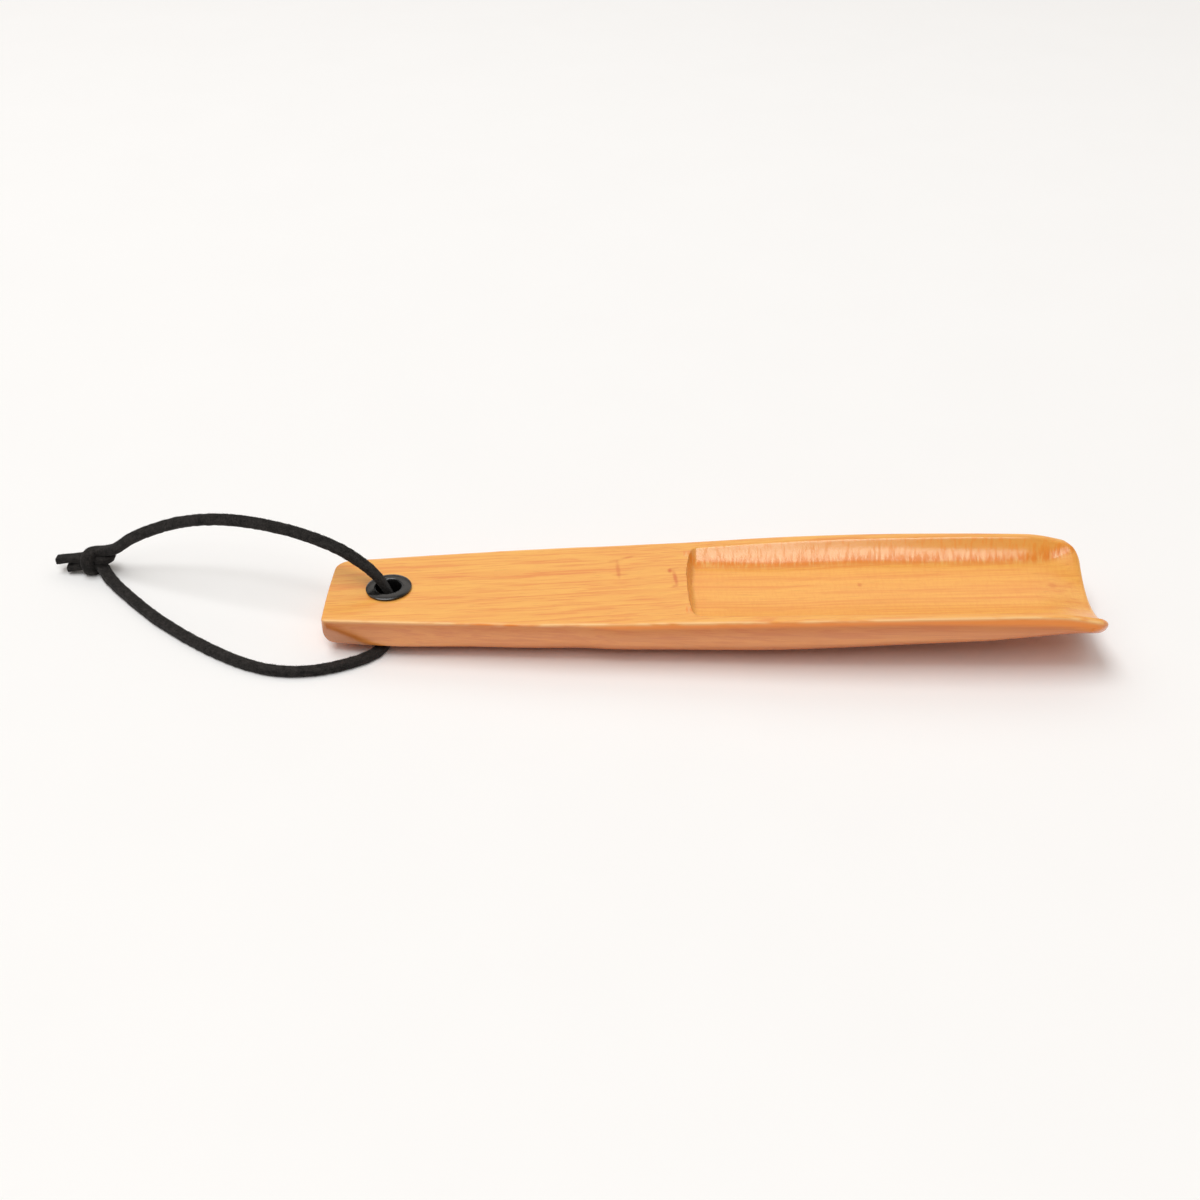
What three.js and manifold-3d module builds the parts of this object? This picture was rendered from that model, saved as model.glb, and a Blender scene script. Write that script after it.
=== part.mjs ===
import * as THREE from 'three';
import { mergeVertices } from 'three/addons/utils/BufferGeometryUtils.js';
import Module from 'manifold-3d';

// A pocket shoe horn carved from one piece of wood, with a suede lace tied through an eyelet.
// Millimetres, +Z up. +X runs from the handle to the tip, and the origin lies on the table
// under the middle of the body, which rests on its belly with the thin tip lifted.

// Places along the body, measured from the handle end or from the tip
const bodyLength = 190;
const eyeletFromEnd = 15.3;
const gripFromEnd = 38;
const waistFromEnd = 55;
const lipFromEnd = 89.9;
const bellyEndFromTip = 80;
const widestFromTip = 56;
const thinFromTip = 14;

// Width of the top face at those places
const endWidth = 26.3;
const gripWidth = 31.9;
const waistWidth = 34;
const lipWidth = 36.1;
const bellyEndWidth = 37.6;
const widestWidth = 38.4;
const thinWidth = 37.3;
const tipWidth = 36.4;

// Height of the top face, which climbs in a straight line along the handle
const endTop = 9.9;
const handleSlope = 0.0377;
const lipTop = 13.65;
const bellyEndTop = 14.8;
const widestTop = 15.9;
const thinTop = 16.8;
const tipTop = 14.6;

// Height of the underside over the table, which the belly touches
const endUnder = 2.7;
const eyeletUnder = 2.5;
const gripUnder = 0.9;
const widestUnder = 1.5;
const thinUnder = 5.6;
const tipUnder = 6.95;

// Rounding between the sides and the underside: its reach, the most of the side's height that it takes,
// and how full its curve is (2 is an ellipse)
const endRound = 1.3;
const eyeletRound = 1.8;
const gripRound = 7.5;
const waistRound = 10.6;
const lipRound = 12.9;
const bladeRound = 16.2;
const tipRound = 17.6;
const roundLimit = 0.98;
const bodyFullness = 2;
const tipFullness = 1.35;

// Bevel along the blade's top edges, which fades out on the handle and grows towards the tip
const edgeOut = 0.15;
const edgeDrop = 0.3;
const bevelOut = 0.45;
const bevelDrop = 1.4;
const tipBevelOut = 0.8;
const tipBevelDrop = 2.3;
const bevelFromEnd = 62;
const bevelRun = 12;

// Plan rounding of both ends, and the facet on each lower corner of the handle
const nearEndCorner = 1.2;
const farEndCorner = 3.4;
const endBow = 0.3;
const tipCorner = 6.5;
const facetTop = 6.9;
const facetLength = 12;
const facetInset = 1.2;

// Scoop: rim on each side of it, height of its floor, how far the floor climbs as a shallow dish towards
// its walls, how steep the walls are, and how far the cove between floor and wall reaches.
// At the tip the dish takes up all of the depth. The scoop starts at a step, whose cut begins
// a little ahead of it, and runs a little past its own half width.
const lipRim = 2.9;
const widestRim = 2.2;
const thinRim = 1.6;
const tipRim = 1.3;
const lipFloor = 9.5;
const bellyEndFloor = 9.3;
const widestFloor = 9.9;
const thinFloor = 10;
const tipFloor = 8.25;
const lipDish = 0.4;
const widestDish = 1;
const thinDish = 2.2;
const lipWallSlope = 1.15;
const thinWallSlope = 1.45;
const coveReach = 2.8;
const tipCoveReach = 0.3;
const stepRun = 3.5;
const stepSquareness = 3.5;
const stepLead = 0.5;
const scoopSpill = 1.04;

// Eyelets pressed into both mouths of the lace hole, each a flange on a short barrel.
// The mouth rolls outwards by a number of crown heights.
const eyeletBore = 6;
const eyeletWall = 0.35;
const flangeDiameter = 11.4;
const flangeEdge = 0.25;
const upperCrown = 0.85;
const lowerCrown = 0.5;
const mouthRoll = 1.5;
const barrelDepth = 3.2;
const spotFaceDepth = 0.6;
const seatGap = 0.3;

// Suede lace, flat, and drawn narrower where it is pulled tight in the knot
const laceWidth = 3;
const laceThickness = 1.8;
const laceCorner = 0.4;
const knotWidthShare = 0.68;
const knotThicknessShare = 0.71;
const knotFromHole = 80.9;
const knotAcross = 22.5;
const knotHeight = 3.3;
const laceLie = 1;
const laceBend = 2.1;
const halfEndGap = 0.15;

// Fineness of the facets
const bodyRings = 46;
const roundSteps = 8;
const scoopRings = 30;
const stepRings = 9;
const scoopPoints = 22;
const circleSides = 40;
const mouthSteps = 6;
const endCurveSteps = 18;
const laceStepsPerSpan = 2;
const weldDistance = 1e-5;

const handleEnd = -bodyLength / 2;
const tip = bodyLength / 2;
const handleTop = (x) => endTop + handleSlope * (x - handleEnd);
const eyeletX = handleEnd + eyeletFromEnd;
const gripX = handleEnd + gripFromEnd;
const waistX = handleEnd + waistFromEnd;
const lipX = handleEnd + lipFromEnd;
const bellyEndX = tip - bellyEndFromTip;
const widestX = tip - widestFromTip;
const thinX = tip - thinFromTip;

// A smooth curve through (x, value) pairs that never swings past them
function through(pairs) {
  const slopes = [];
  const secant = (i) => (pairs[i + 1][1] - pairs[i][1]) / (pairs[i + 1][0] - pairs[i][0]);
  const last = pairs.length - 1;
  for (let i = 0; i <= last; i++) {
    const before = secant(Math.max(i - 1, 0));
    const after = secant(Math.min(i, last - 1));
    slopes.push(before * after > 0 ? (2 * before * after) / (before + after) : 0);
  }
  return (x) => {
    let i = 0;
    while (i < last - 1 && x > pairs[i + 1][0]) i++;
    const run = pairs[i + 1][0] - pairs[i][0];
    const t = THREE.MathUtils.clamp((x - pairs[i][0]) / run, 0, 1);
    const rise = pairs[i + 1][1] - pairs[i][1];
    const bend = (1 - t) * slopes[i] * run - t * slopes[i + 1] * run + (2 * t - 1) * rise;
    return pairs[i][1] + t * rise + t * (1 - t) * bend;
  };
}

const halfWidth = through([
  [handleEnd, endWidth / 2],
  [gripX, gripWidth / 2],
  [waistX, waistWidth / 2],
  [lipX, lipWidth / 2],
  [bellyEndX, bellyEndWidth / 2],
  [widestX, widestWidth / 2],
  [thinX, thinWidth / 2],
  [tip, tipWidth / 2],
]);
const topHeight = through([
  [handleEnd, endTop],
  [gripX, handleTop(gripX)],
  [waistX, handleTop(waistX)],
  [lipX, lipTop],
  [bellyEndX, bellyEndTop],
  [widestX, widestTop],
  [thinX, thinTop],
  [tip, tipTop],
]);
const underHeight = through([
  [handleEnd, endUnder],
  [eyeletX, eyeletUnder],
  [gripX, gripUnder],
  [waistX, 0],
  [bellyEndX, 0],
  [widestX, widestUnder],
  [thinX, thinUnder],
  [tip, tipUnder],
]);
const sideRound = through([
  [handleEnd, endRound],
  [eyeletX, eyeletRound],
  [gripX, gripRound],
  [waistX, waistRound],
  [lipX, lipRound],
  [widestX, bladeRound],
  [thinX, bladeRound],
  [tip, tipRound],
]);
const fullness = through([
  [thinX - thinFromTip, bodyFullness],
  [tip, tipFullness],
]);
const bevelX = handleEnd + bevelFromEnd;
const bevelWidth = through([
  [bevelX, edgeOut],
  [bevelX + bevelRun, bevelOut],
  [widestX, bevelOut],
  [thinX, tipBevelOut],
]);
const bevelHeight = through([
  [bevelX, edgeDrop],
  [bevelX + bevelRun, bevelDrop],
  [widestX, bevelDrop],
  [thinX, tipBevelDrop],
]);

// Solids
const wasm = await Module();
wasm.setup();

function solidOf(geometry) {
  const bare = geometry.index ? geometry.toNonIndexed() : geometry.clone();
  bare.deleteAttribute('normal');
  bare.deleteAttribute('uv');
  const merged = mergeVertices(bare, weldDistance);
  const mesh = new wasm.Mesh({
    numProp: 3,
    vertProperties: new Float32Array(merged.attributes.position.array),
    triVerts: new Uint32Array(merged.index.array),
  });
  return new wasm.Manifold(mesh);
}

function geometryOf(solid) {
  const mesh = solid.getMesh();
  const geometry = new THREE.BufferGeometry();
  geometry.setAttribute('position', new THREE.BufferAttribute(mesh.vertProperties, 3));
  geometry.setIndex(new THREE.BufferAttribute(mesh.triVerts, 1));
  geometry.computeVertexNormals();
  return geometry;
}

// A closed skin over convex rings of points. The rings follow +X and turn from +Y towards +Z.
function loft(rings) {
  const positions = [];
  const triangles = [];
  const count = rings[0].length;
  rings.forEach((ring) => ring.forEach((point) => positions.push(point.x, point.y, point.z)));
  for (let i = 0; i + 1 < rings.length; i++) {
    for (let j = 0; j < count; j++) {
      const a = i * count + j;
      const b = i * count + ((j + 1) % count);
      triangles.push(a, b, b + count, a, b + count, a + count);
    }
  }
  const cap = (ring, first, outward) => {
    const middle = ring.reduce((sum, point) => sum.add(point), new THREE.Vector3());
    middle.divideScalar(count);
    const centre = positions.length / 3;
    positions.push(middle.x, middle.y, middle.z);
    for (let j = 0; j < count; j++) {
      const here = first + j;
      const next = first + ((j + 1) % count);
      triangles.push(centre, outward ? here : next, outward ? next : here);
    }
  };
  cap(rings[0], 0, false);
  cap(rings[rings.length - 1], (rings.length - 1) * count, true);
  const geometry = new THREE.BufferGeometry();
  geometry.setAttribute('position', new THREE.Float32BufferAttribute(positions, 3));
  geometry.setIndex(triangles);
  return geometry;
}

// Section of the body: top edge, bevel, side and rounded lower corner, on both sides
function bodySection(x) {
  const top = topHeight(x);
  const under = underHeight(x);
  const drop = bevelHeight(x);
  const edge = halfWidth(x);
  const side = edge + bevelWidth(x);
  const reach = sideRound(x);
  const rise = Math.min(reach, roundLimit * (top - drop - under));
  const half = [
    new THREE.Vector3(x, edge, top),
    new THREE.Vector3(x, side, top - drop),
  ];
  for (let k = 0; k <= roundSteps; k++) {
    const angle = (k / roundSteps) * Math.PI / 2;
    const inwards = Math.cos(angle) ** (2 / fullness(x));
    const upwards = Math.sin(angle) ** (2 / fullness(x));
    half.push(new THREE.Vector3(x, side - reach + reach * inwards, under + rise - rise * upwards));
  }
  const mirrored = half.map((point) => new THREE.Vector3(point.x, -point.y, point.z));
  return [...mirrored, ...half.reverse()];
}

// Hollow of the scoop: a floor with coved walls on both sides and at its step
const rimWidth = through([
  [lipX, lipRim],
  [widestX, widestRim],
  [thinX, thinRim],
  [tip, tipRim],
]);
const floorHeight = through([
  [lipX, lipFloor],
  [bellyEndX, bellyEndFloor],
  [widestX, widestFloor],
  [thinX, thinFloor],
  [tip, tipFloor],
]);
const dishHeight = through([
  [lipX, lipDish],
  [widestX, widestDish],
  [thinX, thinDish],
  [tip, tipTop - tipFloor],
]);
const wallSlope = through([
  [lipX, lipWallSlope],
  [thinX, thinWallSlope],
]);
const cove = through([
  [thinX, coveReach],
  [tip, tipCoveReach],
]);

function scoopHeight(x, acrossShare) {
  const half = halfWidth(x) - rimWidth(x);
  const dish = floorHeight(x) + dishHeight(x) * acrossShare ** 2;
  const wall = topHeight(x) - wallSlope(x) * half * (1 - Math.abs(acrossShare));
  const blend = Math.max(0, cove(x) - Math.abs(dish - wall));
  const stepShare = Math.max(0, (lipX + stepRun - x) / stepRun);
  const step = (topHeight(x) - floorHeight(x)) * stepShare ** stepSquareness;
  return Math.max(dish, wall) + blend ** 2 / (4 * cove(x)) + step;
}

function scoopSection(x) {
  const lid = topHeight(x) + widestTop;
  const half = (halfWidth(x) - rimWidth(x)) * scoopSpill;
  const ring = [new THREE.Vector3(x, -half, lid)];
  for (let j = 0; j <= scoopPoints; j++) {
    const share = scoopSpill * Math.sin((j / scoopPoints - 0.5) * Math.PI);
    ring.push(new THREE.Vector3(x, (half * share) / scoopSpill, scoopHeight(x, share)));
  }
  ring.push(new THREE.Vector3(x, half, lid));
  return ring;
}

// Plan outline that trims both ends: a bowed handle end and rounded tip corners
function endCurve(half, nearCorner, farCorner, bow) {
  const points = [];
  for (let k = 0; k <= endCurveSteps; k++) {
    const y = -half * Math.cos((k / endCurveSteps) * Math.PI);
    const corner = y < 0 ? nearCorner : farCorner;
    const past = Math.max(0, Math.abs(y) - (half - corner));
    const inset = corner - Math.sqrt(Math.max(0, corner ** 2 - past ** 2)) + bow * (y / half) ** 2;
    points.push(new THREE.Vector2(inset, y));
  }
  return points;
}

function planOutline() {
  const wide = widestWidth;
  const endPoints = endCurve(halfWidth(handleEnd) + edgeOut, nearEndCorner, farEndCorner, endBow);
  const tipPoints = endCurve(halfWidth(tip) + tipBevelOut, tipCorner, tipCorner, 0);
  const outline = [];
  outline.push(new THREE.Vector2(handleEnd + farEndCorner + endBow, wide));
  endPoints.reverse().forEach((p) => outline.push(new THREE.Vector2(handleEnd + p.x, p.y)));
  outline.push(new THREE.Vector2(handleEnd + nearEndCorner + endBow, -wide));
  outline.push(new THREE.Vector2(tip - tipCorner, -wide));
  tipPoints.forEach((p) => outline.push(new THREE.Vector2(tip - p.x, p.y)));
  outline.push(new THREE.Vector2(tip - tipCorner, wide));
  const height = 2 * widestTop;
  const block = new THREE.ExtrudeGeometry(new THREE.Shape(outline), { depth: height, bevelEnabled: false });
  return block.translate(0, 0, -widestTop / 2);
}

// Block on the outer side of the facet plane at one lower corner of the handle
function facetBlock(side) {
  const half = halfWidth(handleEnd) + edgeOut;
  const far = handleEnd + facetLength;
  const onSide = new THREE.Vector3(handleEnd, side * half, facetTop);
  const onUnder = new THREE.Vector3(far, side * (halfWidth(far) + edgeOut), underHeight(far) + edgeDrop);
  const atCorner = new THREE.Vector3(handleEnd, side * (half - facetInset), endUnder);
  const along = onUnder.sub(onSide).normalize();
  const outward = along.clone().cross(atCorner.sub(onSide)).multiplyScalar(side).normalize();
  const down = outward.clone().cross(along);
  const size = 2 * facetLength;
  const block = new THREE.BoxGeometry(2 * size, size, size).translate(0, 0, size / 2);
  return block.applyMatrix4(new THREE.Matrix4().makeBasis(along, down, outward).setPosition(onSide));
}

// Axis of the lace hole, square to the handle's top face
const eyeletTilt = -Math.atan(handleSlope);
const eyeletAxis = new THREE.Matrix4().makeRotationY(eyeletTilt);
eyeletAxis.setPosition(eyeletX, 0, handleTop(eyeletX));
const barrelRadius = eyeletBore / 2 + eyeletWall;
const holeRadius = barrelRadius + seatGap;
const handleDepth = handleTop(eyeletX) - eyeletUnder;
const lowerSeat = handleDepth - spotFaceDepth;

function holeCylinder(radius, from, to) {
  const cylinder = new THREE.CylinderGeometry(radius, radius, to - from, circleSides);
  cylinder.rotateX(Math.PI / 2).translate(0, 0, (from + to) / 2);
  return cylinder.applyMatrix4(eyeletAxis);
}

function hornBody() {
  const rings = [];
  for (let i = 0; i <= bodyRings; i++) {
    rings.push(bodySection(THREE.MathUtils.lerp(handleEnd, tip, i / bodyRings)));
  }
  const scoop = [];
  const stepEnd = lipX + stepRun;
  for (let i = 0; i < stepRings; i++) {
    scoop.push(scoopSection(THREE.MathUtils.lerp(lipX - stepLead, stepEnd, i / stepRings)));
  }
  for (let i = 0; i <= scoopRings; i++) {
    scoop.push(scoopSection(THREE.MathUtils.lerp(stepEnd, tip + stepRun, i / scoopRings)));
  }
  const below = -2 * handleDepth;
  return solidOf(loft(rings))
    .intersect(solidOf(planOutline()))
    .subtract(solidOf(loft(scoop)))
    .subtract(solidOf(facetBlock(1)))
    .subtract(solidOf(facetBlock(-1)))
    .subtract(solidOf(holeCylinder(holeRadius, below, handleDepth)))
    .subtract(solidOf(holeCylinder(flangeDiameter / 2 + seatGap, below, -lowerSeat)));
}

// Eyelet on its own axis: barrel below its seat, rolled mouth and domed flange above it
function eyelet(crown) {
  const bore = eyeletBore / 2;
  const rim = flangeDiameter / 2;
  const profile = new THREE.Path();
  profile.moveTo(bore, -barrelDepth);
  profile.lineTo(bore, -crown);
  profile.quadraticCurveTo(bore, seatGap + crown, bore + mouthRoll * crown, seatGap + crown);
  profile.quadraticCurveTo(rim - crown, seatGap + crown, rim, seatGap + flangeEdge);
  profile.lineTo(rim, seatGap);
  profile.lineTo(barrelRadius, seatGap);
  profile.lineTo(barrelRadius, -barrelDepth);
  profile.lineTo(bore, -barrelDepth);
  const lathe = new THREE.LatheGeometry(profile.getPoints(mouthSteps).reverse(), circleSides);
  return lathe.rotateX(Math.PI / 2);
}

// A flat lace: its points, the way its broad face looks at each of them, and how far it is squeezed.
// Its steps lie closer where its points do.
class LaceCurve extends THREE.CatmullRomCurve3 {
  constructor(stops) {
    super(stops.map((stop) => stop.at));
    this.faces = new THREE.CatmullRomCurve3(stops.map((stop) => stop.face));
    this.tightness = new THREE.CatmullRomCurve3(stops.map((stop) => new THREE.Vector3(stop.tightness, 0, 0)));
  }

  getSpacedPoints(steps) {
    return this.getPoints(steps);
  }

  computeFrenetFrames(steps) {
    const frames = { tangents: [], normals: [], binormals: [] };
    for (let i = 0; i <= steps; i++) {
      const place = i / steps;
      const tangent = this.getTangent(place);
      const across = this.faces.getPoint(place).cross(tangent).normalize();
      const tightness = this.tightness.getPoint(place).x;
      const width = THREE.MathUtils.lerp(1, knotWidthShare, tightness);
      const thickness = THREE.MathUtils.lerp(1, knotThicknessShare, tightness);
      frames.tangents.push(tangent);
      frames.normals.push(across.clone().multiplyScalar(width));
      frames.binormals.push(tangent.clone().cross(across).multiplyScalar(thickness));
    }
    return frames;
  }
}

const up = [0, 0, 1];

// A stop on a free strand: back from the hole, towards the far side, and over the table
const free = (back, farward, height, face = up) => ({
  at: new THREE.Vector3(eyeletX - back, farward, height),
  face: new THREE.Vector3(...face).normalize(),
  tightness: 0,
});

// A stop in the knot: towards the tails, towards the far side and up, from the knot's centre
const knotCentre = new THREE.Vector3(eyeletX - knotFromHole, knotAcross, knotHeight);
const knotted = (tailward, farward, upward, face = up, tightness = 1) => ({
  at: new THREE.Vector3(-tailward, farward, upward).add(knotCentre),
  face: new THREE.Vector3(-face[0], face[1], face[2]).normalize(),
  tightness,
});

const holeMiddle = handleTop(eyeletX) - handleDepth / 2;
const twisted = [1, -1, 0];
const leaning = [0, -0.6, 0.8];

// From the hole the upper strand arches down to the knot, runs over it, goes once round its core,
// turns back and leaves through its own turn as the longer tail
function upperLace() {
  return new LaceCurve([
    free(0, 0, holeMiddle + halfEndGap, twisted),
    free(0, 0, holeMiddle + laceBend, [1, 0, 0]),
    free(0.8, 0.3, 10.6, [1, 0, 0]),
    free(3.5, 1.4, 14, [0.8, -0.2, 0.6]),
    free(8.6, 3.4, 17.4, [0.5, -0.4, 0.8]),
    free(15.3, 5.9, 19.8, leaning),
    free(25.8, 9.7, 21.3, leaning),
    free(36.6, 13, 21.6, leaning),
    free(45.3, 15.2, 20.9, leaning),
    free(55.1, 17.5, 18.6, leaning),
    free(63.3, 19.2, 15.2, leaning),
    free(69.8, 20.6, 11.6, leaning),
    knotted(-6.2, -0.9, 4.6, [0, -0.4, 0.9], 0.4),
    knotted(-3.4, -0.1, 3.3),
    knotted(-1.2, 0.3, 2.85),
    knotted(0.5, 0.05, 2.65, [0, -0.2, 1]),
    knotted(1.45, -1.25, 2.45, [0.1, -0.45, 0.9]),
    knotted(1.9, -2.4, 1.1, [0.1, -0.9, 0.35]),
    knotted(1.75, -2.35, -0.6, [0, -1, -0.2]),
    knotted(1.35, -1.75, -2.1, [0, -0.65, -0.75]),
    knotted(0.7, -0.1, -2.6, [0, 0, -1]),
    knotted(0, 1.5, -2.05, [0, 0.6, -0.8]),
    knotted(-0.7, 2.35, -0.75, [0, 0.95, -0.3]),
    knotted(-1.4, 2.35, 0.6, [-0.2, 0.95, 0.3]),
    knotted(-2.4, 1.95, 1.2, [-0.5, 0.5, 0.7]),
    knotted(-3.3, 0.95, 1.3, [-0.5, 0.1, 0.85]),
    knotted(-3.1, -0.35, 1.2, [-0.3, -0.3, 0.9]),
    knotted(-1.9, -0.8, 1.02, [0, -0.1, 1]),
    knotted(-0.2, -0.35, 0.95),
    knotted(1.8, -0.05, 0.9),
    knotted(3.7, 0.1, 0.8),
    knotted(6, 0.3, 0.55, up, 0),
    knotted(8.4, 0.45, 0.25, up, 0),
    knotted(10.6, 0.5, -0.1, up, 0),
  ]);
}

// From the hole the lower strand turns under the handle, lies on the table and runs
// through the core of the knot to the shorter tail
function lowerLace() {
  const bendShare = Math.SQRT1_2;
  return new LaceCurve([
    free(0, 0, holeMiddle - halfEndGap, twisted),
    free(0, 0, laceLie + laceBend, [0, -1, 0]),
    free(0, (bendShare - 1) * laceBend, laceLie + (1 - bendShare) * laceBend, [0, -1, 1]),
    free(0, -laceBend, laceLie),
    free(0, -6, laceLie),
    free(0.9, -12, laceLie),
    free(4.2, -16, laceLie),
    free(9.8, -19.3, laceLie),
    free(15.9, -21.4, laceLie),
    free(22.3, -22, laceLie),
    free(29.1, -20.8, laceLie),
    free(36.3, -17.6, laceLie),
    free(44, -12.8, laceLie),
    free(51.9, -7, laceLie),
    free(60.5, 0.3, laceLie),
    free(68.1, 8, laceLie),
    knotted(-7.4, -8.7, -2.2, up, 0.3),
    knotted(-4.3, -4.9, -2, up, 0.8),
    knotted(-2.3, -2.2, -1.35),
    knotted(-0.7, -0.6, -0.88),
    knotted(0.9, 0, -0.8),
    knotted(2.6, -0.1, -0.82),
    knotted(4.4, -0.35, -1.25, up, 0.6),
    knotted(6, -0.45, -1.65, up, 0),
    knotted(7.7, -0.5, -1.85, up, 0),
  ]);
}

function laceSection() {
  const half = new THREE.Vector2(laceWidth / 2, laceThickness / 2);
  const corners = [
    [half.x, half.y - laceCorner],
    [half.x - laceCorner, half.y],
    [-half.x + laceCorner, half.y],
    [-half.x, half.y - laceCorner],
    [-half.x, -half.y + laceCorner],
    [-half.x + laceCorner, -half.y],
    [half.x - laceCorner, -half.y],
    [half.x, -half.y + laceCorner],
  ];
  return new THREE.Shape(corners.map(([x, y]) => new THREE.Vector2(x, y)));
}

function lace(curve) {
  const steps = laceStepsPerSpan * (curve.points.length - 1);
  return new THREE.ExtrudeGeometry(laceSection(), { steps, extrudePath: curve });
}

// Scene graph
const wood = new THREE.MeshStandardMaterial({ color: 0xe09a4e, roughness: 0.35, metalness: 0 });
const blackMetal = { color: 0x17191c, roughness: 0.25, metalness: 0.7 };
const suede = { color: 0x1d1c1c, roughness: 0.95, metalness: 0 };

function named(name, geometry, material) {
  const mesh = new THREE.Mesh(geometry, material);
  mesh.name = name;
  return mesh;
}

const shoeHorn = new THREE.Group();
shoeHorn.add(named('horn_body', geometryOf(hornBody()), wood));

const lacePassage = new THREE.Group();
lacePassage.position.set(eyeletX, 0, handleTop(eyeletX));
lacePassage.rotation.y = eyeletTilt;
const upperEyelet = named('upper_eyelet', eyelet(upperCrown), new THREE.MeshStandardMaterial(blackMetal));
const lowerEyelet = named('lower_eyelet', eyelet(lowerCrown), new THREE.MeshStandardMaterial(blackMetal));
lowerEyelet.position.z = -lowerSeat;
lowerEyelet.rotation.x = Math.PI;
lacePassage.add(upperEyelet, lowerEyelet);
shoeHorn.add(lacePassage);

shoeHorn.add(named('lace_upper', lace(upperLace()), new THREE.MeshStandardMaterial(suede)));
shoeHorn.add(named('lace_lower', lace(lowerLace()), new THREE.MeshStandardMaterial(suede)));

export default shoeHorn;
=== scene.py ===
import math

import bpy
import numpy as np
from mathutils import Matrix, Vector, noise


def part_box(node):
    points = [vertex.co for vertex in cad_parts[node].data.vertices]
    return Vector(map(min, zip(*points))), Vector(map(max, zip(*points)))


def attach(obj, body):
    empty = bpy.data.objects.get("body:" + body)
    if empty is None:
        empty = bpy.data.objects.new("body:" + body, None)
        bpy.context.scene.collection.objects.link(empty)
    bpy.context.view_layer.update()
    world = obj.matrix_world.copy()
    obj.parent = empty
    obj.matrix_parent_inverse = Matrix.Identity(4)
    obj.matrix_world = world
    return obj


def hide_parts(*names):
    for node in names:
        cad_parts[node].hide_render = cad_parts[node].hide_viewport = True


# A pocket shoe horn carved from one piece of lacquered wood, with a suede lace tied through an eyelet.
# Sizes are in millimetres and become metres where a mesh is made. +X runs from the handle to the tip.

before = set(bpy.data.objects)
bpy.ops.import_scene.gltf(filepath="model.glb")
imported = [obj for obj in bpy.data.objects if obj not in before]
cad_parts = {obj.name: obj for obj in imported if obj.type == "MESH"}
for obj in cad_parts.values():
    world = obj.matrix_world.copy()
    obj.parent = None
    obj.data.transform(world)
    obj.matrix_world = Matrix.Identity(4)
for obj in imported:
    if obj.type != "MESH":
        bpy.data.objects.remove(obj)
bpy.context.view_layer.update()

MM = 0.001
PER_METRE = 1000

# Places along the body, from the frame and from the handle end or the tip
horn_low, horn_high = (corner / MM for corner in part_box("horn_body"))
HANDLE_END = horn_low.x
TIP = horn_high.x
EYELET_X = HANDLE_END + 15.3
GRIP_X = HANDLE_END + 38
WAIST_X = HANDLE_END + 55
BEVEL_X = HANDLE_END + 62
LIP_X = HANDLE_END + 89.9
BELLY_END_X = TIP - 80
WIDEST_X = TIP - 56
THIN_X = TIP - 14

# Handle's top face, which climbs in a straight line, and the depth of wood at the lace hole
END_TOP = 9.9
HANDLE_SLOPE = 0.0377
EYELET_UNDER = 2.5
EYELET_TOP = END_TOP + HANDLE_SLOPE * (EYELET_X - HANDLE_END)
HANDLE_DEPTH = EYELET_TOP - EYELET_UNDER
HOLE_MIDDLE = EYELET_TOP - HANDLE_DEPTH / 2

# Bevel along the blade's top edges, which fades out on the handle and grows towards the tip,
# and how softly its edges are rubbed
EDGE_OUT, BEVEL_OUT, TIP_BEVEL_OUT = 0.15, 0.45, 0.8
EDGE_DROP, BEVEL_DROP, TIP_BEVEL_DROP = 0.3, 1.4, 2.3
BEVEL_RUN = 12
RIDGE_SOFT, FOOT_SOFT = 0.4, 0.6
EDGE_SOFT_SHARE = 0.45

# Plan rounding of both ends, how far it is felt along the body, and the rubbed edges of the handle's end
NEAR_END_CORNER, FAR_END_CORNER = 1.2, 3.4
NEAR_TIP_CORNER, FAR_TIP_CORNER = 4.9, 5.7
END_BOW = 0.3
END_WARP, TIP_WARP = 12, 20
END_SOFT, END_SOFT_SHARE = 0.5, 0.85
END_UNDER_REACH, END_UNDER_RISE = 2.2, 3.8

# Tip, pinched to a thin edge with lifted corners, and the facet on each lower corner of the handle
PINCH_LEAST, PINCH_MOST, PINCH_SHARE, PINCH_LEFT = 0.6, 2.3, 0.75, 0.06
NOSE_REACH, NOSE_SHARE, NOSE_BELOW = 18, 0.7, 1.2
NOSE_INNER, NOSE_OUTER = 0.8, 1
FACET_TOP, FACET_LENGTH, FACET_INSET = 8.4, 13, 1.5
FACET_SOFT = 0.3

# Scoop: its ends at the tip, the step at its start, and how softly its edge is rubbed
TIP_TOP, TIP_FLOOR = 14.6, 8.25
STEP_RUN, STEP_SQUARENESS = 3.4, 5
RIM_SOFT = 0.35
CORNER_LIFT, CORNER_LIFT_RUN, CORNER_LIFT_STOP, CORNER_LIFT_SKEW = 0.8, 8, 2, 0.4
CORNER_LIFT_INNER, CORNER_LIFT_OUTER = 0.25, 0.9

# Eyelets: a flange on a short barrel, pressed into both mouths of the lace hole
EYELET_BORE, EYELET_WALL = 6, 0.35
FLANGE_DIAMETER, FLANGE_EDGE = 11.4, 0.25
UPPER_CROWN, LOWER_CROWN, MOUTH_ROLL = 0.55, 0.45, 1.5
BARREL_DEPTH, SPOT_FACE_DEPTH, SEAT_GAP = 3.2, 0.6, 0.3
FLANGE_REST = 0.05

# Suede lace, flat, and drawn a little wider and thicker where it is pulled tight in the knot
LACE_WIDTH, LACE_THICKNESS = 3, 1.8
LACE_LIE, LACE_BEND, HALF_END_GAP = 1, 2.1, 0.15
KNOT_WIDTH_SHARE, KNOT_THICKNESS_SHARE = 1.05, 1.25
KNOT_CENTRE = np.array((EYELET_X - 80.9, 22.5, 3.3))

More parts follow.
